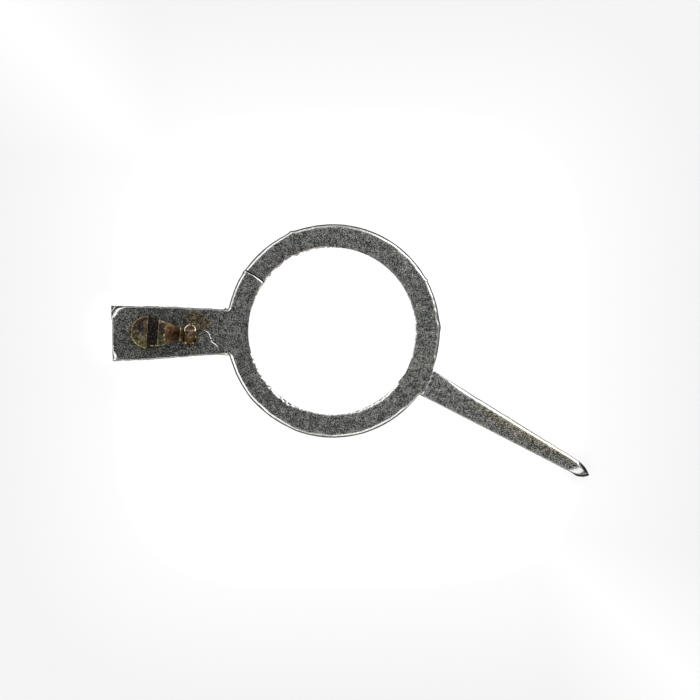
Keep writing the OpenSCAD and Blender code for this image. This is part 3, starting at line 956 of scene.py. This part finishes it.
def columnAngle(column, radius, starts):
    keys = ringKeys(radius)
    span = next(i for i in range(len(keys) - 1) if column <= starts[i + 1])
    share = (column - starts[span]) / (starts[span + 1] - starts[span])
    return keys[span] + (keys[span + 1] - keys[span]) * share


def rimBurr(angle):
    lift = 0.002 * wander(0.09, ring["rim"] * cos(angle), ring["rim"] * sin(angle), 4.0)
    for burrAngle, spread, height in ring["burrs"]:
        away = (degrees(angle) - burrAngle + 180) % 360 - 180
        lift += height * 2 ** (-(away / spread) ** 2)
    return lift


# The punch tore the bore between the slit and the +Y side
def boreTear(angle):
    x, y = ring["bore"] * cos(angle), ring["bore"] * sin(angle)
    start, end, fade = ring["torn"]
    bearing = degrees(angle) % 360
    there = eased((bearing - start) / fade) * eased((end - bearing) / fade)
    plain, added, lift = ring["tear"]
    rough = wander(0.032, x, y, 17.0) + 0.5 * wander(0.08, x, y, 19.0)
    return (plain + added * there) * rough + lift * there


# Small fillets where the tail and the pointer leave the rim
def rimFillet(angle):
    lift = 0.0
    for arm, middle, turned in ((tail, pi, -1), (pointer, pointer["turn"], 1)):
        for side in (-1, 1):
            corner = middle + turned * side * sideAngle(ring["rim"], arm, side)
            away = (angle - corner + pi) % (2 * pi) - pi
            lift += 0.5 * arm["fillet"] * max(0.0, 1 - abs(away) * ring["rim"] / arm["fillet"]) ** 2
    return lift


def armFillet(arm, beyondRim):
    return 0.5 * arm["fillet"] * max(0.0, 1 - beyondRim / arm["fillet"]) ** 2


def bendRing(bm, starts):
    rows, columns = ringRows(), starts[-1]
    edgeReach = 0.05                             # mm from the rim or the bore that its wear reaches
    bmesh.ops.create_grid(bm, x_segments=columns, y_segments=len(rows) - 1, size=1.0)
    rim = [None] * (columns + 1)
    for vert in bm.verts:
        column = round((vert.co.x + 1) / 2 * columns)
        row = round((vert.co.y + 1) / 2 * (len(rows) - 1))
        radius = rows[row]
        angle = columnAngle(column, radius, starts)
        height = ringHeight(radius, angle)
        outer = eased((radius - rows[firstRimRow]) / edgeReach)
        grown = shifted(radius, angle) + rimFillet(angle) * outer
        worn = between(ring["boreWear"], degrees(angle) % 360)
        grown += (boreTear(angle) + worn) * eased(1 - (radius - ring["bore"]) / edgeReach)
        if not (starts[3] <= column <= starts[4] or starts[7] <= column <= starts[8]):
            grown += (rimBurr(angle) + between(ring["rimWear"], degrees(angle) % 360)) * outer
        x, y = grown * cos(angle), grown * sin(angle)
        if starts[3] <= column <= starts[4]:
            height = max(height, tailHeight(-x, y - tail["offset"]))
        elif starts[7] <= column <= starts[8]:
            height = max(height, pointerHeight(*onPointer(x, y)))
        vert.co = (x, y, height)
        if row == len(rows) - 1:
            rim[column] = vert
    return rim


def onPointer(x, y):
    c, s = cos(pointer["turn"]), sin(pointer["turn"])
    return x * c + y * s, y * c - x * s - pointer["offset"]


def fromPointer(along, across):
    c, s = cos(pointer["turn"]), sin(pointer["turn"])
    across += pointer["offset"]
    return along * c - across * s, along * s + across * c


# Insets from an arm's side at which its columns run, closer together over the rolled edge
def armInsets(count, half, edgeInsets):
    inner = count // 2 - len(edgeInsets) + 1
    last = edgeInsets[-1]
    insets = edgeInsets[:-1] + [last + (half - last) * i / inner for i in range(inner)]
    return insets


def armAcross(i, count, half, edgeInsets, fullHalf):
    insets = armInsets(count, fullHalf, edgeInsets)
    shares = [1 - inset / fullHalf for inset in insets]
    side = 1 if i > count / 2 else -1
    fromSide = min(i, count - i)
    if fromSide >= len(shares):
        return 0.0
    return side * shares[fromSide] * half


def growTail(bm, rim, starts):
    chain = rim[starts[3]:starts[4] + 1]         # from the +Y side to the -Y side
    count = len(chain) - 1
    roots = [(-v.co.x, v.co.y - tail["offset"]) for v in chain]
    edgeInsets = [0, 0.004, 0.010, 0.016, 0.022, 0.031, 0.042, 0.062, 0.085, 0.11, 0.14, 0.17, 0.20,
                  0.23, 0.265, 0.30, 0.34, 0.39]
    length = tail["reach"] - ring["rim"]
    inset = edgeInsets[-1]
    plain = ceil((length - inset) / tail["pitch"])
    stations = [(length - inset) / length * k / plain for k in range(1, plain + 1)]
    stations += [(length - step) / length for step in reversed(edgeInsets[:-1])]

    def placeVert(i, station):
        rootAlong, rootAcross = roots[i]
        along = rootAlong + (tail["reach"] - rootAlong) * station
        half = tailHalf(along) + armFillet(tail, along - ring["rim"])
        spread = -armAcross(i, count, half, edgeInsets, tail["endWidth"] / 2)
        settled = eased(station / 0.08)
        across = rootAcross / tailHalf(rootAlong) * half * (1 - settled) + spread * settled
        height = tailHeight(along, across)
        rough = wander(0.06, along, across, 7.0) + 0.7 * wander(0.16, along, across, 9.0)
        nearSide = eased(1 - (half - abs(across)) / 0.06)
        nearEnd = eased(1 - (tail["reach"] - along) / 0.06)
        push = tail["edgeWander"] * rough
        worn = between(tail["sideWear"][0 if across > 0 else 1], along)
        across += (push + worn) * nearSide * (1 if across > 0 else -1) * eased(station / 0.04)
        bulge = tail["cornerBulge"] * eased((0.34 - half + across) / 0.06)
        along += (push * 0.6 + bulge) * nearEnd
        return -along, across + tail["offset"], height

    for station in stations:
        chain = growChain(bm, chain, placeVert, station)


def growPointer(bm, rim, starts):
    chain = rim[starts[7]:starts[8] + 1]         # from the -Y side to the +Y side
    count = len(chain) - 1
    roots = [onPointer(v.co.x, v.co.y) for v in chain]
    edgeInsets = [0, 0.004, 0.009, 0.014, 0.020, 0.027, 0.035, 0.045, 0.058, 0.074, 0.092, 0.112]
    length = pointer["reach"] - ring["rim"]
    # short steps at the root and, getting shorter, at the tip
    rootLength, rootSteps, tipLength, tipSteps = 0.12, 12, 0.40, 26
    middle = length - rootLength - tipLength
    middleSteps = ceil(middle / pointer["pitch"])
    stations = [rootLength * k / rootSteps / length for k in range(1, rootSteps + 1)]
    stations += [(rootLength + middle * k / middleSteps) / length for k in range(1, middleSteps + 1)]
    stations += [1 - tipLength / length * (1 - k / tipSteps) ** 1.3 for k in range(1, tipSteps + 1)]

    def placeVert(i, station):
        rootAlong, rootAcross = roots[i]
        along = rootAlong + (pointer["reach"] - rootAlong) * station
        half = pointerHalf(along) + armFillet(pointer, along - ring["rim"])
        spread = armAcross(i, count, half, edgeInsets, pointer["endWidth"] / 2 + 0.06)
        settled = eased(station / 0.06)
        across = rootAcross / pointerHalf(rootAlong) * half * (1 - settled) + spread * settled
        height = pointerHeight(along, across)
        rough = wander(0.05, along, across, 11.0) + 0.8 * wander(0.2, along, across, 13.0)
        nearSide = eased(1 - (half - abs(across)) / 0.05) * eased(half / 0.08)
        across += pointer["edgeWander"] * rough * nearSide * (1 if across > 0 else -1) \
            * eased(station / 0.04)
        upper = across > 0
        before, length = pointer["wearGrowth"]
        wear = pointer["tipWear"][0 if upper else 1] * eased((along - pointer["start"] + before) / length)
        across -= min(wear, 0.6 * half) * across / max(half, 1e-6)
        x, y = fromPointer(along, across)
        return x, y, height

    for station in stations:
        chain = growChain(bm, chain, placeVert, station)


def buildIndex():
    bm = bmesh.new()
    starts = ringColumns()
    rim = bendRing(bm, starts)
    growTail(bm, rim, starts)
    growPointer(bm, rim, starts)
    bmesh.ops.remove_doubles(bm, verts=bm.verts, dist=1e-4)
    for face in bm.faces:
        face.normal_update()
        if face.normal.z < 0:
            face.normal_flip()
    top = list(bm.faces)
    lowered = bmesh.ops.extrude_face_region(bm, geom=top, use_keep_orig=True)["geom"]
    slit = slitAngle(ring["bore"])
    beside, outermost = ring["leanReach"]
    for vert in (g for g in lowered if isinstance(g, bmesh.types.BMVert)):
        x, y, _ = vert.co
        radius, angle = hypot(x, y), atan2(y, x)
        near = eased(1 - abs(angle - slit) * radius / beside)
        lean = ring["slitLean"] * near / radius if radius < outermost else 0.0
        vert.co = (radius * cos(angle + lean), radius * sin(angle + lean), 0.0)
    upright = [e for e in bm.edges if abs(e.verts[0].co.z - e.verts[1].co.z) > 0.1]
    cuts = bmesh.ops.subdivide_edges(bm, edges=upright, cuts=3)["geom_inner"]
    bmesh.ops.recalc_face_normals(bm, faces=bm.faces)
    # The lower half of the wall is torn, so it wanders a few microns in and out
    tornTo, fade, rough, sink = ring["wallTear"]
    for vert in (g for g in cuts if isinstance(g, bmesh.types.BMVert)):
        x, y, z = vert.co
        torn = eased((tornTo - z) / fade)
        vert.co += vert.normal * torn * rough * (wander(0.05, x, y, 20 * z) - sink)
    return bm


# The bent scratch on the tail: the burr that it threw up, as a thin ridge on the face
scratch = {
    # mm, from the middle of the tail towards its -Y side, and how thick the ridge is at each place
    "path": [(-2.600, 0.034), (-2.546, 0.024), (-2.494, -0.004), (-2.451, -0.065), (-2.447, -0.103),
             (-2.421, -0.141), (-2.428, -0.177), (-2.392, -0.221), (-2.348, -0.246), (-2.311, -0.286),
             (-2.289, -0.326)],
    "radii": [0.005, 0.007, 0.006, 0.008, 0.008, 0.008, 0.009, 0.009, 0.008, 0.006, 0.003],
    "facing": radians(-45),
}


def addScratch(bm):
    spots = [Vector((x, y, ring["thickness"])) for x, y in scratch["path"]]
    radii = scratch["radii"]
    across = Matrix.Rotation(scratch["facing"], 4, "Z") @ Matrix.Rotation(radians(90), 4, "Y")
    loop = bmesh.ops.create_circle(bm, cap_ends=False, segments=8, radius=radii[0],
                                   matrix=Matrix.Translation(spots[0]) @ across)["verts"]
    bmesh.ops.contextual_create(bm, geom=loop)
    for old, new, oldRadius, newRadius in zip(spots, spots[1:], radii, radii[1:]):
        edges = [e for e in bm.edges if e.verts[0] in loop and e.verts[1] in loop]
        made = bmesh.ops.extrude_edge_only(bm, edges=edges)["geom"]
        loop = [g for g in made if isinstance(g, bmesh.types.BMVert)]
        for vert in loop:
            vert.co = new + (vert.co - old) * (newRadius / oldRadius)
    bmesh.ops.contextual_create(bm, geom=loop)


# Holes for the boot's post and the pin, each with room for its riveted end on the far side
def cutHoles(bm):
    below, above = -holes["over"], ring["thickness"] + holes["over"]
    sinkRadius, sinkDepth = holes["sink"]
    bm = combined(bm, drum(holes["post"], below, above, pivot), "DIFFERENCE")
    bm = combined(bm, drum(sinkRadius, below, sinkDepth, pivot), "DIFFERENCE")
    bm = combined(bm, drum(pin["radius"], below, above, pin["foot"], 48), "DIFFERENCE")
    sink = lathe([(0, -0.001), (pin["rivetRadius"], -0.001), (pin["radius"], pin["rivetDepth"]),
                  (0, pin["rivetDepth"])], 48)
    bmesh.ops.translate(sink, verts=sink.verts, vec=pin["foot"])
    bm = combined(bm, sink, "DIFFERENCE")
    mergeClose(bm, holes["mergeWithin"])
    return bm


indexMesh = buildIndex()
print("index:", len(indexMesh.faces), "faces, open edges:", openEdges(indexMesh))
indexMesh = cutHoles(indexMesh)
addScratch(indexMesh)
bmesh.ops.recalc_face_normals(indexMesh, faces=indexMesh.faces)
print("index with holes:", len(indexMesh.faces), "faces, open edges:", openEdges(indexMesh))
for face in indexMesh.faces:
    low = max(v.co.z for v in face.verts) < 1e-4
    face.material_index = 2 if low else (1 if abs(face.normal.z) < 0.25 else 0)
index = finishPiece(indexMesh, "index_steel", "index",
                    [stampedSteel, shearedSteel, lappedSteel])
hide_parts("index")
print("index finished")


# Boot: a round head with a screwdriver slot, a nose towards the pin, and a riveted post

boot = {
    "headRadius": 0.32,
    "headEnd": 0.383,                # where the head stops and the nose begins
    "noseEnd": 0.65,
    "noseHalf": 0.13,
    "lipEnd": 0.675,
    "lipThickness": 0.06,
    "close": 1e-4,                   # slack in finding the edges that a height or a length names
    "low": 0.35,                     # heights
    "slotFloor": 0.65,
    "top": bootHigh.z,
    "noseTop": (0.73, 0.63),         # at its root and at its end
    "slot": (0.006, 0.216),
    "slotTwist": (-0.4, -1.4),       # degrees, its one wall and its other
    "sides": 42,                     # chosen so that no corner falls close to the slot
    "headBevel": 0.013,
    "noseBevel": 0.012,
    "chips": (0.014, 0.004),         # how far a worn arris wanders in and out, and how far it sinks
    "chipsElsewhere": 0.3,
    "turn": -3.5,                    # degrees by which it lies off the part's line
    # heights below which a face is bare brass, the nose's brass, and the slot's dirt and painted shade
    "bareBelow": 0.34,
    "noseBelow": 0.78,
    "dirtBelow": 0.83,
    # riveted end, post and collar, as radius and height
    "shank": [(0, 0), (0.24, 0), (0.24, 0.08), (0.17, 0.08), (0.17, 0.31), (0.25, 0.31),
              (0.25, 0.37), (0, 0.37)],
}


def buildBootHead():
    bm = bmesh.new()
    close = boot["close"]
    corner = hypot(boot["noseEnd"], boot["noseHalf"])
    touch = atan2(boot["noseHalf"], boot["noseEnd"]) + acos(boot["headRadius"] / corner)
    start = bm.verts.new((boot["headRadius"] * cos(touch), boot["headRadius"] * sin(touch), boot["low"]))
    bmesh.ops.spin(bm, geom=[start], cent=(0, 0, boot["low"]), axis=(0, 0, 1), dvec=(0, 0, 0),
                   angle=2 * pi - 2 * touch, steps=boot["sides"], use_merge=False, use_duplicate=False)
    ends = sorted((v for v in bm.verts if len(v.link_edges) == 1), key=lambda v: v.co.y)
    corners = bmesh.ops.extrude_vert_indiv(bm, verts=ends)["verts"]
    for vert in corners:
        side = 1 if vert.co.y > 0 else -1
        vert.co = (boot["noseEnd"], side * boot["noseHalf"], boot["low"])
    bm.edges.new(corners)
    bmesh.ops.contextual_create(bm, geom=list(bm.edges))
    for x, twist in zip(boot["slot"] + (boot["headEnd"],), boot["slotTwist"] + (0.0,)):
        facing = Matrix.Rotation(radians(twist), 3, "Z") @ Vector((1, 0, 0))
        bmesh.ops.bisect_plane(bm, geom=list(bm.verts) + list(bm.edges) + list(bm.faces),
                               plane_co=(x, 0, 0), plane_no=facing)
    bmesh.ops.recalc_face_normals(bm, faces=bm.faces)
    for face in bm.faces:
        if face.normal.z < 0:
            face.normal_flip()
    raised = bmesh.ops.extrude_face_region(bm, geom=list(bm.faces), use_keep_orig=True)["geom"]
    tops = [g for g in raised if isinstance(g, bmesh.types.BMFace)]
    for vert in {v for f in tops for v in f.verts}:
        vert.co.z = boot["slotFloor"]
    head = [f for f in tops if f.calc_center_median().x < boot["slot"][0]
            or boot["slot"][1] < f.calc_center_median().x < boot["headEnd"]]
    lifted = bmesh.ops.extrude_face_region(bm, geom=head)["geom"]
    bmesh.ops.delete(bm, geom=head, context="FACES_ONLY")
    for vert in (g for g in lifted if isinstance(g, bmesh.types.BMVert)):
        vert.co.z = boot["top"]
    for vert in bm.verts:
        if abs(vert.co.z - boot["slotFloor"]) < close and vert.co.x > boot["headEnd"] - close:
            vert.co.z = boot["noseTop"][0 if vert.co.x < boot["headEnd"] + close else 1]
    bmesh.ops.recalc_face_normals(bm, faces=bm.faces)

    # Lip along the top of the nose's end
    def atNoseEnd(face):
        return face.normal.x > 0.99 and face.calc_center_median().x > boot["noseEnd"] - 0.01

    wall = next(f for f in bm.faces if atNoseEnd(f))
    bmesh.ops.bisect_plane(bm, geom=[wall] + list(wall.edges) + list(wall.verts),
                           plane_co=(0, 0, boot["noseTop"][1] - boot["lipThickness"]), plane_no=(0, 0, 1))
    upper = max((f for f in bm.faces if atNoseEnd(f)), key=lambda f: f.calc_center_median().z)
    lip = bmesh.ops.extrude_face_region(bm, geom=[upper])["geom"]
    bmesh.ops.delete(bm, geom=[upper], context="FACES_ONLY")
    for vert in (g for g in lip if isinstance(g, bmesh.types.BMVert)):
        vert.co.x = boot["lipEnd"]

    # Arrises: round the head's top and along the slot, then the nose's sides and its lip
    def lowest(edge):
        return min(v.co.z for v in edge.verts)

    def bevelled(edges, width, segments):
        return bmesh.ops.bevel(bm, geom=edges, offset=width, offset_type="OFFSET", segments=segments,
                               profile=0.5, affect="EDGES", material=-1, clamp_overlap=True)["verts"]

    top = boot["top"] - close
    across = [e for e in bm.edges if lowest(e) > top and abs(e.verts[0].co.y - e.verts[1].co.y) > 0.3]
    bmesh.ops.subdivide_edges(bm, edges=across, cuts=17)
    rounded = bevelled([e for e in bm.edges if lowest(e) > top], boot["headBevel"], 4)
    nose = [e for e in bm.edges if min(v.co.x for v in e.verts) > boot["headEnd"] - close
            and max(v.co.x for v in e.verts) > boot["noseEnd"] - close
            and lowest(e) > boot["noseTop"][1] - boot["lipThickness"] - close]
    bevelled([e for e in nose if e.calc_face_angle(0) > 0.3], boot["noseBevel"], 2)
    # The arrises are worn unevenly, most of all where the head stops above the nose
    chipSize, chipDepth = boot["chips"]
    for vert in rounded:
        if vert.is_valid:
            x, y, _ = vert.co
            chipped = 1.0 if x > boot["headEnd"] - 0.04 else boot["chipsElsewhere"]
            vert.co += vert.normal * chipped * (chipSize * wander(0.05, x, y, 20.0) - chipDepth)
    flats = [f for f in bm.faces if f.normal.z > 0.999 and f.calc_area() > 0.02
             and f.calc_center_median().z > boot["slotFloor"] + 0.1]
    bmesh.ops.inset_individual(bm, faces=flats, thickness=0.006, depth=0.0, use_even_offset=False)
    return bm


def buildBoot():
    head = buildBootHead()
    bm = combined(head, lathe(boot["shank"]), "UNION")
    bmesh.ops.remove_doubles(bm, verts=bm.verts, dist=1e-5)
    for face in bm.faces:
        middle = face.calc_center_median()
        face.material_index = 0
        inSlot = boot["slot"][0] - 0.002 < middle.x < boot["slot"][1] + 0.002
        if middle.z < boot["bareBelow"] or middle.x > boot["noseEnd"] + 0.004:
            face.material_index = 3
        elif middle.x > boot["headEnd"] - 0.002 and middle.z < boot["noseBelow"]:
            face.material_index = 2
        elif inSlot and middle.z < boot["dirtBelow"]:
            face.material_index = 1
    turned = Matrix.Rotation(radians(boot["turn"]), 4, "Z")
    bmesh.ops.transform(bm, matrix=Matrix.Translation((pivot.x, pivot.y, 0)) @ turned, verts=bm.verts)
    return bm


bootMesh = buildBoot()
print("boot:", len(bootMesh.faces), "faces, open edges:", openEdges(bootMesh))
bootPiece = finishPiece(bootMesh, "boot_brass", "boot",
                        [turnedBrass, slotDirtAndShade, brownBrass, bareBrass])
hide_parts("boot")


# Curb pin: riveted below, leaning back above the tail, with a burred, cut tip

def buildPin():
    r, top, foot = pin["radius"], pin["top"], ring["thickness"]
    profile = [(0, 0), (pin["rivetRadius"], 0), (r, pin["rivetDepth"]), (r, 0.2), (r, foot),
               (r + 0.014, foot + 0.002), (r + 0.004, foot + 0.007), (r - 0.006, foot + 0.013),
               (r - 0.012, foot + 0.026), (r - 0.012, foot + 0.08)]
    profile += [(r - 0.006 + 0.001 * i, foot + 0.14 + 0.08 * i) for i in range(6)]
    # the cut tip: rounded over, with a shallow dish in its middle
    rounding, steps = pin["rounding"], 8
    turns = [pi / 2 * i / steps for i in range(steps + 1)]
    profile += [(r - rounding * (1 - cos(turn)), top - rounding * (1 - sin(turn))) for turn in turns]
    profile += [(0.6 * (r - rounding), top - 0.001), (0.3 * (r - rounding), top - 0.003), (0, top - 0.004)]
    bm = lathe(profile, pin["sides"])
    lean, sideLean = radians(pin["lean"]), radians(pin["sideLean"])
    for vert in bm.verts:
        x, y, z = vert.co
        if z > foot + 1e-5:
            rough = wander(0.05, x, y, 30 + z) * 0.006 * eased((z - 0.85) / 0.08)
            share = min(1.0, 0.5 + (z - foot) / 0.04)
            up = z - foot
            y, z = y + up * sin(lean) * share, foot + up * cos(lean) - y * sin(lean) * share
            vert.co = (x + up * sin(sideLean), y, z + rough)
    lift = pin["top"] - max(v.co.z for v in bm.verts)
    for vert in bm.verts:
        vert.co.z += lift * eased((vert.co.z - foot) / 0.3)
    bmesh.ops.translate(bm, verts=bm.verts, vec=pin["foot"])
    return bm


pinMesh = buildPin()
print("pin:", len(pinMesh.faces), "faces, open edges:", openEdges(pinMesh))
pinPiece = finishPiece(pinMesh, "curb_pin_brass", "index", [wireBrass])
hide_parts("curb_pin")
print("boot and pin finished")


# Floor, light and camera

studio = {
    "floorSize": 400.0,          # mm
    "lampDistance": 60.0,
    "lampTilt": 52.0,            # degrees from overhead
    "lampWidth": 44.0,
    "lampHeight": 40.0,
    # bearing and radiance: nearly a ring of light, weakest to the right and straight above
    "lamps": [(40, 3.4), (85, 0.7), (130, 2.1), (172, 1.2), (212, 2.0), (256, 0.9), (300, 1.8),
              (343, 0.4)],
    "cardRadiance": 6.0,
    "cardLevel": 7.2,            # what a fully white card would shine back in the middle
    "cardFlat": 4.2,             # mm from the middle at which the card starts to fall off
    "cardEdge": 7.0,
    "cardEdgeTone": 0.905,
    "cardMiddle": (0.35, -0.39),
    "cardDiagonal": (3.4, 0.883),  # mm off the diagonal at which the tone has fallen to this
    # painted light on the card: how far over white it is round the part, and a lifted oval round the tail's
    # end that takes up the part's shadow
    "cardOver": 0.14,
    "cardShaded": ((-4.3, 0.0, 0.85, 1.1, 0), 0.16),
    "viewCentre": Vector((0.354, -0.386, 0)),
    "viewWidth": 14.0,           # mm seen across
    "viewDistance": 400.0,       # the camera's height above the ring
    "viewRoll": radians(-0.5),
}


def buildFloor():
    bm = bmesh.new()
    bmesh.ops.create_grid(bm, x_segments=8, y_segments=8, size=studio["floorSize"] / 2 * mm)
    bmesh.ops.translate(bm, verts=bm.verts, vec=(0, 0, -0.002 * mm))
    floor = temporaryObject(bm, "card")
    material, tree = startMaterial("white_card_matt")
    # Painted light falloff: the card's colour darkens a little towards a rounded square frame, but not
    # along one diagonal
    x, y, _ = addNode(tree, "SeparateXYZ", inputs={
        0: addNode(tree, "TexCoord").outputs["Object"]}).outputs
    middleX, middleY = studio["cardMiddle"]
    x = addNode(tree, "Math", {"operation": "SUBTRACT"}, {0: x, 1: middleX * mm}).outputs[0]
    y = addNode(tree, "Math", {"operation": "SUBTRACT"}, {0: y, 1: middleY * mm}).outputs[0]
    powers = [addNode(tree, "Math", {"operation": "POWER"}, {
        0: addNode(tree, "Math", {"operation": "ABSOLUTE"}, {
            0: addNode(tree, "Math", {"operation": "DIVIDE"}, {0: value, 1: mm}).outputs[0]}).outputs[0],
        1: 4.0}).outputs[0] for value in (x, y)]
    far = addNode(tree, "Math", {"operation": "POWER"}, {
        0: addNode(tree, "Math", {"operation": "ADD"}, {0: powers[0], 1: powers[1]}).outputs[0],
        1: 0.25}).outputs[0]
    off = addNode(tree, "Math", {"operation": "ABSOLUTE"}, {
        0: addNode(tree, "Math", {"operation": "ADD"}, {0: x, 1: y}).outputs[0]}).outputs[0]
    full = studio["cardLevel"]
    diagonalReach, diagonalLow = studio["cardDiagonal"]
    shadedSpot, shadedLift = studio["cardShaded"]
    frameTone = addNode(tree, "MapRange", inputs={
        "Value": far, "From Min": studio["cardFlat"], "From Max": studio["cardEdge"],
        "To Min": 1.0 / full, "To Max": studio["cardEdgeTone"] / full}).outputs[0]
    diagonalTone = addNode(tree, "MapRange", inputs={
        "Value": off, "From Min": 0.0, "From Max": diagonalReach * mm,
        "To Min": 1.0 / full, "To Max": diagonalLow / full}).outputs[0]
    tone = addNode(tree, "Math", {"operation": "MAXIMUM"}, {0: frameTone, 1: diagonalTone}).outputs[0]
    # round the part it is a little over white, which takes up what shadow there is
    over = addNode(tree, "MapRange", smooth, {
        "Value": far, "From Min": studio["cardFlat"] - 0.4, "From Max": studio["cardFlat"] + 0.7,
        "To Min": studio["cardOver"] / full, "To Max": 0.0}).outputs[0]
    tone = addNode(tree, "Math", {"operation": "ADD"}, {0: tone, 1: over}).outputs[0]
    # painted light: the card is lifted round the tail's end, where the part's shadow falls on it
    shaded = addNode(tree, "MapRange", smooth, {
        "Value": spotDepth(tree, addNode(tree, "TexCoord").outputs["Object"], shadedSpot),
        "To Min": 0.0, "To Max": shadedLift / full}).outputs[0]
    tone = addNode(tree, "Math", {"operation": "ADD"}, {0: tone, 1: shaded}).outputs[0]
    finishMaterial(tree, {"Base Color": tone, "Roughness": 0.9, "Specular IOR Level": 0.0})
    floor.data.materials.append(material)
    return floor


def buildLamps(card):
    tilt = radians(studio["lampTilt"])
    area = studio["lampWidth"] * studio["lampHeight"] * mm * mm
    for bearing, radiance in studio["lamps"]:
        lamp = bpy.data.lights.new("softbox_%d" % bearing, "AREA")
        lamp.shape = "RECTANGLE"
        lamp.size, lamp.size_y = studio["lampWidth"] * mm, studio["lampHeight"] * mm
        lamp.energy = radiance * pi * area
        holder = bpy.data.objects.new(lamp.name, lamp)
        turn = radians(bearing)
        away = Vector((sin(tilt) * cos(turn), sin(tilt) * sin(turn), cos(tilt)))
        holder.location = away * studio["lampDistance"] * mm
        holder.rotation_euler = away.to_track_quat("Z", "Y").to_euler()
        holder.visible_camera = False
        bpy.context.collection.objects.link(holder)
    # Lights the card alone, from straight above, so that hardly a shadow shows on it
    sun = bpy.data.lights.new("card_light", "SUN")
    sun.energy = studio["cardRadiance"] * pi
    holder = bpy.data.objects.new("card_light", sun)
    holder.visible_glossy = False
    bpy.context.collection.objects.link(holder)
    receivers = bpy.data.collections.new("card_only")
    receivers.objects.link(card)
    holder.light_linking.receiver_collection = receivers


def buildWorld():
    world = bpy.data.worlds.new("studio")
    bpy.context.scene.world = world
    world.use_nodes = True
    tree = world.node_tree
    tree.nodes.clear()
    path = addNode(tree, "LightPath")
    colour = addNode(tree, "MixRGB", inputs={
        0: path.outputs["Is Camera Ray"], 1: (0.10, 0.10, 0.10, 1), 2: (0.9, 0.9, 0.9, 1)})
    background = addNode(tree, "Background", inputs={"Color": colour.outputs[0]})
    addNode(tree, "OutputWorld", inputs={"Surface": background.outputs[0]})


def buildCamera():
    roll, distance = studio["viewRoll"], studio["viewDistance"]
    data = bpy.data.cameras.new("camera")
    data.sensor_width = 36.0
    data.lens = data.sensor_width * distance / studio["viewWidth"]
    camera = bpy.data.objects.new("camera", data)
    centre = Matrix.Rotation(roll, 3, "Z") @ studio["viewCentre"]
    camera.location = Vector((centre.x, centre.y, ring["thickness"] + distance)) * mm
    camera.rotation_euler = (0, 0, roll)
    data.clip_start, data.clip_end = 1 * mm, 1000 * mm
    bpy.context.collection.objects.link(camera)
    bpy.context.scene.camera = camera


card = buildFloor()
buildLamps(card)
buildWorld()
buildCamera()
bpy.context.scene.view_settings.view_transform = "Standard"
print("studio ready")
